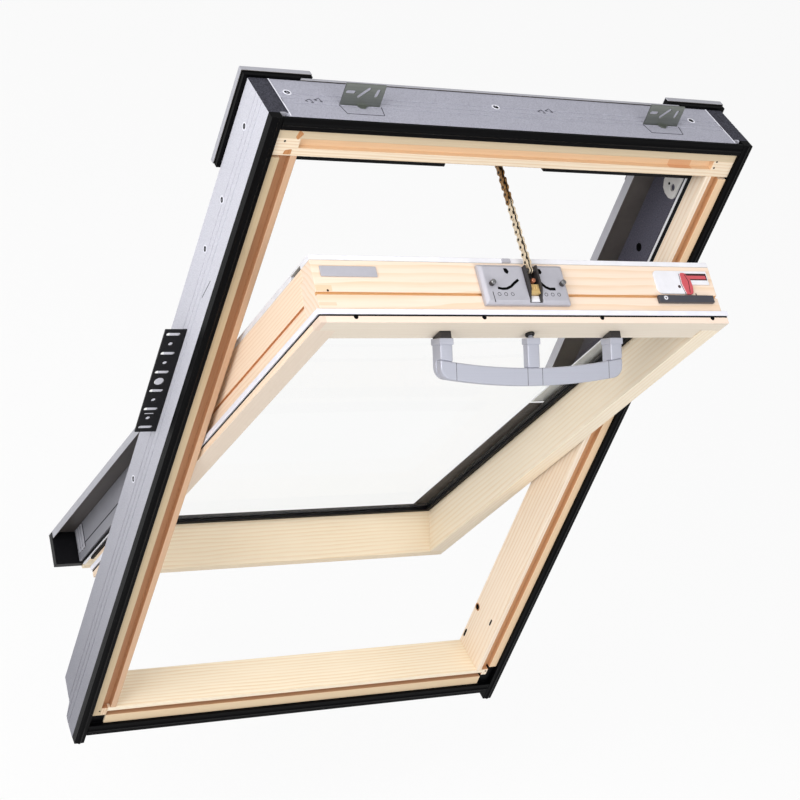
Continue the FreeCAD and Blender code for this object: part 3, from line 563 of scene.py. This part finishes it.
class Detail:
    """Small shapes, given in millimetres of one space, gathered into one mesh."""

    def __init__(self, space):
        self.space = space
        self.shape = bmesh.new()

    def take(self, shape, place):
        """Add a finished shape to the mesh and free it."""
        mesh = bpy.data.meshes.new("part")
        bmesh.ops.recalc_face_normals(shape, faces=shape.faces)
        shape.to_mesh(mesh)
        shape.free()
        mesh.transform(self.space @ place)
        self.shape.from_mesh(mesh)
        bpy.data.meshes.remove(mesh)

    def prism(self, place, outline, low, high):
        """Outline in the local xy plane, from low to high along local z."""
        shape = bmesh.new()
        bottom = [shape.verts.new((x, y, low)) for x, y in outline]
        top = [shape.verts.new((x, y, high)) for x, y in outline]
        shape.faces.new(bottom)
        shape.faces.new(top[::-1])
        for i in range(len(outline)):
            after = (i + 1) % len(outline)
            shape.faces.new((bottom[i], top[i], top[after], bottom[after]))
        self.take(shape, place)

    def turned(self, place, profile, sides=24, ring=False):
        """Profile of (radius, height) points turned about local z; a ring's profile closes on itself."""
        shape = bmesh.new()
        rows = []
        for radius, height in profile:
            spots = circle(0, 0, radius, steps=sides) if radius > 0 else [(0, 0)]
            rows.append([shape.verts.new((x, y, height)) for x, y in spots])
        pairs = list(zip(rows, rows[1:]))
        if ring:
            pairs.append((rows[-1], rows[0]))
        for first, second in pairs:
            for i in range(sides):
                after = (i + 1) % sides
                corners = [first[i % len(first)], first[after % len(first)],
                           second[after % len(second)], second[i % len(second)]]
                shape.faces.new(list(dict.fromkeys(corners)))
        if not ring:
            for row in (rows[0], rows[-1]):
                if len(row) > 1:
                    shape.faces.new(row)
        self.take(shape, place)

    def piece(self, name, look, slot, *nodes, edge=0.15):
        mesh = bpy.data.meshes.new(name)
        self.shape.to_mesh(mesh)
        self.shape.free()
        add_piece(name, rounded(mesh, edge, 1), looks[look], slot, *nodes)


# Frame details

NAILS = ((-375.3, 1160.2), (357.1, 1164.2), (356.7, 1153.1), (-377.2, 30.5), (371.0, 32.5))
HEAD_HOLES = ((-360.0, 63.0), (-26.0, 61.0), (327.0, 60.0))
SIDE_HOLES = ((64.0, 1140.0), (63.0, 1018.0), (68.0, 929.0), (71.0, 485.0))
ARROWS = ((-325.0, 50.0), (59.0, 63.0))
HOLE_RIM = ((4.2, -0.6), (4.2, 0.1), (5.2, 0.5), (6.4, 0.1), (6.4, -0.6))
HOLE_SHADE_DISC = ((4.3, -0.6), (4.3, 0.05), (2.0, 0.0), (0, 0.0))
ARROW_PITCH = 15.0
ARROW_TURN = -20
ARROW_LINES = (((-6, -4), (0, 4), (6, -4)), ((-6, -4), (-2, -4)), ((2, -4), (6, -4)))
MARK_WIDTH = 1.2
MARK_HEIGHT = 0.25
BRACKET_X = 257.0
BRACKET_FRONT = 40.0
SIDE_SCRATCH = ((905.0, 24.0), (868.0, 33.0))
# Plugs and slots on the right jamb, each as y and z; a slot adds its length and width.
JAMB_SLOTS = ((72.0, 62.0, 18.0, 5.0), (20.0, 141.0, 14.0, 4.0))
JAMB_PLUG = (70.0, 131.0)
LINER_PLUG = (75.8, 946.5)
GUIDE_SCREW = (68.3, 1076.7)


def frame_nails():
    nails = Detail(WINDOW)
    for x, z in NAILS:
        nails.turned(on("room", x, 0, z), ((1.7, -0.5), (1.7, 0.1), (1.2, 0.35), (0, 0.4)), 14)
    nails.piece("frame_nails", "hole_black", "cap_black")


def foam_holes():
    rims = Detail(WINDOW)
    # Painted shade: each hole is a pale rim round a flat black disc at the face, where its hollow would be dark.
    shade_discs = Detail(WINDOW)
    spots = [("up", x, y, COLLAR_TOP) for x, y in HEAD_HOLES]
    spots += [("left", -COLLAR_HALF, y, z) for y, z in SIDE_HOLES]
    for facing, x, y, z in spots:
        place = on(facing, x, y, z)
        rims.turned(place, HOLE_RIM, ring=True)
        shade_discs.turned(place, HOLE_SHADE_DISC)
    rims.piece("foam_hole_rims", "rim_pale", "foam")
    shade_discs.piece("foam_hole_shade_discs", "hole_black", "dark_edge")


def foam_marks():
    """Arrows, the outlines below the head brackets, the seams at the corners and a scratch."""
    marks = Detail(WINDOW)
    top = on("up", 0, 0, COLLAR_TOP)
    for x, y in ARROWS:
        for shift in (0.0, ARROW_PITCH):
            place = on("up", x - 8 + shift, y - 5 + shift * 0.25, COLLAR_TOP, ARROW_TURN)
            for line in ARROW_LINES:
                marks.prism(place, stroke(line, MARK_WIDTH), SUNK, MARK_HEIGHT)
    for side in (-1, 1):
        x = side * BRACKET_X
        recess = ((x - 33, BRACKET_FRONT - 1), (x - 29, 17), (x + 29, 17), (x + 33, BRACKET_FRONT - 1))
        for first, second in zip(recess, recess[1:]):
            marks.prism(top, stroke((first, second), 1.1), SUNK, MARK_HEIGHT)
        seam = side * (CORE_HALF - 0.2)
        marks.prism(on("up", seam, 0, COLLAR_TOP), rect(-1.1, 1.1, 10, 96), SUNK, 0.3)
        marks.prism(on("up", seam - side * 3, 0, COLLAR_TOP), rect(-1, 1, 38, 48), SUNK, 0.3)
    marks.prism(on("left", -COLLAR_HALF, 0, 0), stroke(SIDE_SCRATCH, MARK_WIDTH), SUNK, MARK_HEIGHT)
    marks.piece("foam_marks", "mark_grey", "dark_edge", edge=0.08)


def foam_edges():
    """Pale edge beside each corner seam."""
    edges = Detail(WINDOW)
    for side in (-1, 1):
        edges.prism(on("up", side * (CORE_HALF - 2.4), 0, COLLAR_TOP), rect(-0.8, 0.8, 3, 96), SUNK, 0.4)
    edges.piece("foam_edges", "rim_pale", "foam", edge=0.1)


def bracket_tabs():
    """Short torn tongue at the foot of each head bracket."""
    tabs = Detail(WINDOW)
    for side in (-1, 1):
        place = on("up", side * BRACKET_X + 2, BRACKET_FRONT, COLLAR_TOP)
        tabs.prism(place, eased(((-8, 0.2), (-5, -8), (3, -9), (6, -4), (11, -1), (12, 0.2)), 2), 0.1, 1.3)
    tabs.piece("bracket_tabs", "zinc", "zinc")


def jamb_fittings():
    """Plugs and slots on the right jamb's inner face, and the guide plate's screw."""
    dark = Detail(WINDOW)
    # Painted shade: each slot is a flat black patch where its hollow would be dark.
    for y, z, length, width in JAMB_SLOTS:
        dark.prism(on("left", OPENING_HALF, y, z), slot_outline(length, width), -0.5, 0.3)
    dark.turned(on("left", OPENING_HALF, *JAMB_PLUG), ((5.5, -0.5), (5.5, 0.2), (0, 0.2)))
    dark.turned(on("left", OPENING_HALF + 1, *LINER_PLUG), ((7, -0.5), (7, 0.4), (5.5, 0.9), (0, 0.9)))
    dark.turned(on("left", OPENING_HALF - 3, *GUIDE_SCREW), ((2.4, -0.4), (2.4, 0.3), (0, 0.3)))
    dark.piece("jamb_plugs", "hole_black", "cap_black")
    ring = Detail(WINDOW)
    profile = ((5.4, -0.5), (5.4, 0.3), (7.2, 0.5), (7.8, -0.5))
    ring.turned(on("left", OPENING_HALF, *JAMB_PLUG), profile, ring=True)
    ring.piece("jamb_plug_ring", "knot", "pine")


def corner_knots():
    """Darker patches of end grain at the frame's left upper corner joint."""
    knots = Detail(WINDOW)
    place = on("room", 0, 0, 0)
    knots.prism(place, eased(((-358, 1179), (-350, 1173), (-357, 1163), (-361, 1167)), 2), SUNK, 0.12)
    knots.prism(place, eased(((-373, 1139), (-361, 1139), (-361, 1148), (-371, 1146)), 2), SUNK, 0.12)
    knots.piece("corner_knots", "knot", "pine", edge=0.05)


# Sash details

RIM_PLUGS = (-290.0, -86.8, 114.0, 316.0)
CASE_HOLES = ((-35.9, 78.7), (20.3, 78.7))
CASE_POSTS = ((-66.0, 58.0), (53.0, 58.5))
CASE_RINGS = (-57, -46, -35, 22, 33, 44)
CASE_RING = ((2.2, -0.4), (2.2, 0.12), (2.9, 0.12), (2.9, -0.4))
CASE_SUNK = -0.4
CASE_RAISED = 0.15
STRIP_RUN = (-1010, -640)
INNER_STRIP_RUN = (-968, -640)
RIDGES = (-1004, -992, -980)
RIDGE_WIDTH = 7
RIDGE_DEPTH = (57, 101)


def rim_plugs():
    plugs = Detail(SASH)
    for x in RIM_PLUGS:
        plugs.turned(on("up", x, 8.6, 0), ((3.6, -0.6), (3.6, 0.25), (0, 0.3)), 18)
    plugs.turned(on("up", -322, 50, SASH_TOP), ((1.8, -0.6), (1.8, 0.2), (0, 0.25)), 12)
    plugs.piece("rim_plugs", "hole_black", "cap_black")


def stile_corners():
    """Ends of the stiles beside the top rail's recessed lower band."""
    corners = Detail(SASH)
    for side in (-1, 1):
        x0, x1 = sorted((side * (STILE_INNER + 0.6), side * (RIM_HALF - 0.4)))
        corners.prism(on("room", 0, 2.0, 0), rect(x0, x1, -53.0, -26.2), SUNK, 1.9)
    corners.piece("stile_corners", "stile_corner", "pine", edge=0.25)


def on_both_sides(detail, x, z_range, y_range, height):
    """Flat bar standing out by height from the sash's sides, x from its middle."""
    for facing, sign in (("left", 1), ("right", -1)):
        low, high = sorted(sign * z for z in z_range)
        detail.prism(on(facing, -sign * x, 0, 0), rect(low, high, *y_range), SUNK, height)


def side_strips():
    """Thin strips along the sash's sides below the pivots, and ridges near their foot."""
    dark = Detail(SASH)
    on_both_sides(dark, SIDE_TRIM_HALF, STRIP_RUN, (64.5, 66.2), 0.3)
    on_both_sides(dark, SIDE_TRIM_HALF, (-971.5, -969.5), RIDGE_DEPTH, 0.3)
    on_both_sides(dark, SASH_HALF, STRIP_RUN, (42.6, 45.7), 5.5)
    on_both_sides(dark, SASH_HALF, INNER_STRIP_RUN, (33, 37), 4.5)
    dark.piece("side_strips_dark", "seal_black", "seal_black", edge=0.1)
    white = Detail(SASH)
    on_both_sides(white, SASH_HALF, STRIP_RUN, (39.4, 41.6), 4.0)
    white.piece("side_strips_white", "latch_white", "edge_white", edge=0.1)
    ridges = Detail(SASH)
    for z in RIDGES:
        on_both_sides(ridges, SIDE_TRIM_HALF, (z, z + RIDGE_WIDTH), RIDGE_DEPTH, 1.6)
    ridges.piece("side_ridges", "cover_grey", "flashing_grey", edge=0.4)


def edge_clip():
    """Small grey clip on the sash's outer edge, behind the lock case."""
    clip = Detail(SASH)
    clip.prism(on("up", -24, 101, SASH_TOP), eased(rect(-7, 7, -3.4, 3.4), 1.2), SUNK, 2.0)
    clip.piece("edge_clip", "case_grey", "case_grey", edge=0.3)


def case_openings():
    """Holes and curved slots in the lock case's upper face, drawn as flat black patches of painted shade, and its
    line and round marks.
    """
    dark = Detail(SASH)
    face = on("up", 0, 0, CASE_TOP)
    for x, y in CASE_HOLES:
        outline = ((x - 4, y + 4.5), (x + 2, y + 4.5), (x + 4.5, y - 1), (x + 1, y - 5), (x - 3, y - 2))
        dark.prism(face, eased(outline, 1.5), CASE_SUNK, CASE_RAISED)
    left = ((-57, 51.5), (-50, 50), (-42, 50.5), (-34, 54), (-27, 59.5), (-19, 65))
    right = ((15.5, 63), (20, 57.5), (25, 53), (31, 50.5), (40.5, 50.5))
    dark.prism(face, stroke(left, 4.0), CASE_SUNK, CASE_RAISED)
    dark.prism(face, stroke(right, 4.6), CASE_SUNK, CASE_RAISED)
    dark.prism(face, stroke(((-67, 45.5), (-66.6, 29)), 1.1), CASE_SUNK, 0.12)
    for x in CASE_RINGS:
        dark.turned(on("up", x, 41.5, CASE_TOP), CASE_RING, 16, ring=True)
    dark.piece("case_openings", "hole_black", "base_dark", edge=0.05)


def case_posts():
    shafts = Detail(SASH)
    tops = Detail(SASH)
    for x, y in CASE_POSTS:
        shafts.turned(on("up", x, y, CASE_TOP), ((4.0, -0.4), (4.0, 6.0), (0, 6.0)))
        tops.turned(on("up", x, y, CASE_TOP + 6), ((4.0, -0.2), (4.0, 1.6), (3.2, 2.4), (0, 2.4)))
    shafts.piece("case_posts", "base_dark", "base_dark", edge=0.2)
    tops.piece("case_post_tops", "hinge_steel", "case_grey", edge=0.2)


def bracket_block():
    """Brass block, copper pin and pale lip in the chain bracket."""
    block = Detail(SASH)
    block.prism(on("up", 4, 50, 0), rect(-7.8, 7.8, -8, 7), -0.6, 10.0)
    for x in (-1, 3, 7):
        block.prism(on("up", x, 50, 10), rect(-0.8, 0.8, -3, 5), -0.2, 1.2)
    block.piece("bracket_block", "brass", "chain_brass", edge=0.5)
    pin = Detail(SASH)
    pin.turned(on("up", 3.5, 62, 0), ((3.4, -0.6), (3.4, 13), (2.6, 14), (0, 14)))
    pin.piece("bracket_pin", "copper", "chain_brass", edge=0.3)
    lip = Detail(SASH)
    lip.prism(on("up", 4, 37, 0), rect(-7.8, 7.8, -5.5, 4.5), -0.8, 4.0)
    lip.piece("bracket_lip", "latch_white", "base_dark", edge=0.5)


# Push chain

CHAIN_X = 4.0
CHAIN_TOP = Vector((CHAIN_X, 78.0, 1126.0))
CHAIN_END = Vector((CHAIN_X, 80.0, 9.0))
LINK_PITCH = 12.5
PLATE_RADIUS = 5.0
PLATE_WAIST = 3.4
PLATE = 1.3
CORE_HALF_THICK = 0.9
CORE_NARROWING = 0.92
# How far the plates stand from the middle, in the links that lie inside and outside.
INNER_REACH = 2.5
OUTER_REACH = 3.9
PIN = ((0, -4.7), (1.6, -4.7), (2.2, -4.3), (2.2, 4.3), (1.5, 4.7), (0, 4.7))
BRONZE_SHARE = 0.45


def link_outline(length):
    """Figure-of-eight link plate from one pin, at zero, to the next."""
    first = circle(0, 0, PLATE_RADIUS, 45, 315, 12)
    second = circle(length, 0, PLATE_RADIUS, -135, 135, 12)
    return first + [(length / 2, -PLATE_WAIST)] + second + [(length / 2, PLATE_WAIST)]


def push_chain():
    """Links from the drive's pin to the bracket's pin, bronze above and cream below."""
    run = WINDOW.inverted() @ SASH @ CHAIN_END - CHAIN_TOP
    count = round(run.length / LINK_PITCH)
    step = run / count
    ahead = run.normalized()
    side = Vector((1, 0, 0))
    turn = Matrix((ahead, side.cross(ahead), side)).transposed().to_4x4()
    outline = link_outline(step.length)
    slim = [(x, y * CORE_NARROWING) for x, y in outline]
    upper = Detail(WINDOW)
    lower = Detail(WINDOW)
    dark = Detail(WINDOW)
    for i in range(count):
        place = Matrix.Translation(CHAIN_TOP + step * i) @ turn
        reach = OUTER_REACH if i % 2 else INNER_REACH
        links = upper if i < count * BRONZE_SHARE else lower
        links.prism(place, outline, reach - PLATE, reach)
        links.prism(place, outline, -reach, PLATE - reach)
        dark.prism(place, slim, -CORE_HALF_THICK, CORE_HALF_THICK)
        if i:
            dark.turned(place, PIN, 14)
    upper.piece("chain_upper", "chain_bronze", "chain_brass", "push_chain", edge=0.2)
    lower.piece("chain_lower", "chain_cream", "chain_brass", "push_chain", edge=0.2)
    dark.piece("chain_pins", "chain_dark", "chain_brass", "push_chain", edge=0.2)


# Latch


def latch():
    """White plate with a red catch in it, and the screw in the bar beside them."""
    face = on("up", 0, 0, SASH_TOP)
    plate = Detail(SASH)
    corners = [(331, 89), (331, 66), (297, 66), (293, 50)]
    start = circle(240, 60, 10, 180, 270, 8)[::-1]
    far = circle(238, 81, 8, 90, 180, 8)[::-1]
    plate.prism(face, start + far + corners, 0, 2.5)
    plate.piece("latch_plate_finish", "latch_white", "latch_white", "latch_plate", edge=0.5)
    catch = Detail(SASH)
    limb = ((280, 85), (288, 85), (296, 74), (297, 62), (295, 51), (291, 48.5), (283, 48.5), (279, 66))
    catch.prism(face, eased(limb, 2.5), 1.0, 4.2)
    catch.prism(face, rect(286, 327, 75, 81), 1.0, 3.4)
    catch.piece("latch_catch", "latch_red", "latch_white", edge=0.6)
    # Painted shadow in dark red-brown: strips round the catch's arm and beside its limb, and a line along the
    # limb's top; the screw and a small mark beside them take the same colour.
    dark = Detail(SASH)
    dark.prism(face, rect(284, 329, 73.2, 84.6), 1.0, 2.7)
    dark.prism(face, stroke(((278, 84), (277, 66), (281, 49)), 1.0), 1.0, 2.7)
    dark.prism(face, stroke(((287, 82), (291, 70), (288, 51)), 1.2), 1.0, 4.35)
    dark.turned(on("up", 272.5, 62, SASH_TOP), ((2.4, 1), (2.4, 3.1), (1.4, 3.3), (0, 2.9)), 16)
    dark.prism(face, rect(300.5, 302.5, 47, 52), SUNK, 0.3)
    dark.piece("latch_shades", "latch_shade", "latch_grey", edge=0.1)
    ring = Detail(SASH)
    profile = ((1.7, -0.3), (1.7, 0.5), (3.4, 0.5), (3.6, -0.3))
    ring.turned(on("up", 238.3, 41, SASH_TOP + 6), profile, 18, ring=True)
    ring.piece("latch_screw_ring", "latch_white", "latch_white", edge=0.1)


# Pull bar

BAR_X = 8.0
BAR_HALF = 145.0
BAR_NEAR = 31.5
BAR_WIDTH = 26.0
BAR_BOW = 11.0
BAR_THICK = 14.0
LEG_THICK = 24.0
LEG_HALF = 10.0
BAR_TIP = math.radians(23.0)
BAR_ROOT = Vector((0.0, -9.0, -31.0))
BAIL = SASH @ Matrix.Translation(BAR_ROOT) @ Matrix.Rotation(BAR_TIP, 4, "X")
LEGS = ((BAR_X - BAR_HALF, LEG_THICK), (BAR_X, BAR_THICK), (BAR_X + BAR_HALF, LEG_THICK))
SEAMS = (BAR_X - BAR_HALF + 15, BAR_X - 11.5, BAR_X + 13.5, BAR_X + BAR_HALF - 15)
SEAM_INSET = 0.6


def bar_caps():
    """Lips round the roots of the three legs."""
    caps = Detail(BAIL)
    for x, thick in LEGS:
        outline = eased(rect(-LEG_HALF - 1.2, LEG_HALF + 1.2, -9.0, 0.4), 1.5)
        caps.prism(on("up", x, 0, 0), outline, -thick - 0.6, 0.9)
    caps.piece("bar_caps", "handle_satin", "handle_satin", edge=0.5)


def bar_seams():
    """Fine parting lines across the bar beside its legs."""
    seams = Detail(BAIL)
    for x in SEAMS:
        rise = BAR_BOW * (1 - ((x - BAR_X) / BAR_HALF) ** 2)
        near = BAR_NEAR + rise + SEAM_INSET
        far = BAR_NEAR + BAR_WIDTH + rise - SEAM_INSET
        seams.prism(on("up", x, 0, 0), rect(-0.35, 0.35, -far, -near), SUNK, 0.12)
    seams.piece("bar_seams", "base_dark", "handle_satin", edge=0.05)


def bar_knob():
    """Black turned knob with a pale stem under the middle leg."""
    place = on("room", BAR_X, 2.0, BAR_ROOT.z - BAR_THICK / 2 * math.cos(BAR_TIP))
    knob = Detail(SASH)
    knob.turned(place, ((7.0, 0.1), (7.2, 2.6), (5.6, 4.3), (3.4, 4.6)))
    knob.piece("bar_knob", "knob_black", "base_dark", edge=0.2)
    stem = Detail(SASH)
    stem.turned(place, ((3.3, 4.2), (3.5, 6.4), (5.0, 8.6), (5.0, 10.2)))
    stem.piece("bar_stem", "handle_satin", "handle_satin", edge=0.2)


# Glass edge

GLASS_HALF = 331.0
GLASS_TOP = -33.0
GLASS_BOTTOM = -947.0
SPACER_INSET = 1.0
SPACER_WIDTH = 12.0
SPACER_FRONT = 87.0
SPACER_BACK = 97.0


def glass_spacer():
    """Dark bar between the panes, round their edge."""
    half = GLASS_HALF - SPACER_INSET
    top = GLASS_TOP - SPACER_INSET
    bottom = GLASS_BOTTOM + SPACER_INSET
    width = SPACER_WIDTH
    spacer = Detail(SASH)
    for outline in (rect(-half, half, top - width, top), rect(-half, half, bottom, bottom + width),
                    rect(-half, -half + width, bottom + width, top - width),
                    rect(half - width, half, bottom + width, top - width)):
        spacer.prism(on("room", 0, 0, 0), outline, -SPACER_BACK, -SPACER_FRONT)
    spacer.piece("glass_spacer", "spacer", "glass", edge=0.4)


# All pieces, with the width of each node's rounded edges in millimetres

EDGES = {"glass_pane": 0.3, "glazing_gasket": 0.5, "head_brackets": 0.4, "left_bracket": 0.4,
         "right_bracket": 0.4, "lock_case": 1.2, "pull_bar": 2.2, "pull_bar_legs": 2.0}
USUAL_EDGE = 0.8
BUILT_HERE = ("push_chain", "latch_plate")
for node in sorted(frame["nodes"]):
    if node not in BUILT_HERE:
        finished(node, EDGES.get(node, USUAL_EDGE))

for make in (frame_nails, foam_holes, foam_marks, foam_edges, bracket_tabs, jamb_fittings, corner_knots,
             rim_plugs, stile_corners, side_strips, edge_clip, case_openings, case_posts, bracket_block,
             push_chain, latch, bar_caps, bar_seams, bar_knob, glass_spacer):
    make()


# Stage

FLOOR_HALF = 12.0
FLOOR_DROP = 0.35
FLOOR_GLOW = 0.9
SKY_STRENGTH = 0.42
CAMERA_PLACE = (-1.0968, -2.0785, 1.7147)
CAMERA_TURN = (55.878, -18.19, -24.536)
CAMERA_LENS = 88.178
CAMERA_SENSOR = 36.0
CAMERA_SHIFT = (-0.0507, -0.0973)


def make_stage():
    """Pale floor below the part, white to the camera, that keeps a soft shadow."""
    shader = Shader("floor", (0.9, 0.9, 0.9), 0.9)
    paper = shader.noise(60.0, 3.0)
    shader.color(shader.ramp(paper, (0.3, (0.88, 0.88, 0.88)), (0.7, (0.9, 0.9, 0.9))))
    glow = shader.node("ShaderNodeEmission")
    path = shader.node("ShaderNodeLightPath")
    blend = shader.node("ShaderNodeMixShader")
    seen = shader.math("MAXIMUM", path.outputs["Is Camera Ray"], path.outputs["Is Transmission Ray"])
    seen = shader.math("MAXIMUM", seen, path.outputs["Is Glossy Ray"])
    shader.set(glow, "Color", (*WHITE, 1.0))
    shader.set(glow, "Strength", 1.0)
    shader.set(blend, 0, shader.math("MULTIPLY", seen, FLOOR_GLOW))
    shader.set(blend, 1, shader.principled.outputs[0])
    shader.set(blend, 2, glow.outputs[0])
    shader.set(shader.tree.nodes["Material Output"], "Surface", blend.outputs[0])
    height = cad_low.z - FLOOR_DROP
    mesh = bpy.data.meshes.new("floor")
    corners = [(x, y, height) for x, y in rect(-FLOOR_HALF, FLOOR_HALF, -FLOOR_HALF, FLOOR_HALF)]
    mesh.from_pydata(corners, [], [(0, 1, 2, 3)])
    mesh.materials.append(shader.material)
    floor = bpy.data.objects.new("floor", mesh)
    bpy.context.scene.collection.objects.link(floor)


def make_world():
    """Even sky light, white where the camera or the glass looks at it."""
    world = bpy.data.worlds.new("studio")
    bpy.context.scene.world = world
    world.use_nodes = True
    tree = world.node_tree
    tree.nodes.clear()
    path = tree.nodes.new("ShaderNodeLightPath")
    soft = tree.nodes.new("ShaderNodeBackground")
    soft.inputs["Color"].default_value = (*WHITE, 1.0)
    soft.inputs["Strength"].default_value = SKY_STRENGTH
    white = tree.nodes.new("ShaderNodeBackground")
    white.inputs["Color"].default_value = (*WHITE, 1.0)
    white.inputs["Strength"].default_value = 1.0
    seen = tree.nodes.new("ShaderNodeMath")
    seen.operation = "MAXIMUM"
    tree.links.new(path.outputs["Is Camera Ray"], seen.inputs[0])
    tree.links.new(path.outputs["Is Transmission Ray"], seen.inputs[1])
    blend = tree.nodes.new("ShaderNodeMixShader")
    tree.links.new(seen.outputs[0], blend.inputs[0])
    tree.links.new(soft.outputs[0], blend.inputs[1])
    tree.links.new(white.outputs[0], blend.inputs[2])
    output = tree.nodes.new("ShaderNodeOutputWorld")
    tree.links.new(blend.outputs[0], output.inputs["Surface"])


def add_lamp(name, place, target, size, power):
    """Soft rectangular lamp that faces target."""
    data = bpy.data.lights.new(name, "AREA")
    data.shape = "RECTANGLE"
    data.size, data.size_y = size
    data.energy = power
    lamp = bpy.data.objects.new(name, data)
    lamp.location = place
    lamp.rotation_euler = (target - place).to_track_quat("-Z", "Y").to_euler()
    bpy.context.scene.collection.objects.link(lamp)


def make_camera():
    """The photograph's viewpoint: above, to the left, on the room side."""
    data = bpy.data.cameras.new("camera")
    data.sensor_width = CAMERA_SENSOR
    data.lens = CAMERA_LENS
    data.shift_x, data.shift_y = CAMERA_SHIFT
    camera = bpy.data.objects.new("camera", data)
    camera.location = CAMERA_PLACE
    camera.rotation_euler = Euler([math.radians(turn) for turn in CAMERA_TURN])
    bpy.context.scene.collection.objects.link(camera)
    bpy.context.scene.camera = camera


make_stage()
make_world()
middle = (cad_low + cad_high) / 2
add_lamp("left_lamp", middle + Vector((-2.6, -1.0, 1.9)), middle + Vector((0, 0, 0.3)), (2.0, 2.0), 78.0)
add_lamp("room_lamp", middle + Vector((0.6, -3.4, 1.6)), middle, (3.0, 2.4), 54.0)
add_lamp("top_lamp", middle + Vector((0.0, 0.3, 3.4)), middle, (3.0, 3.0), 24.0)
make_camera()
bpy.context.scene.view_settings.view_transform = "Standard"
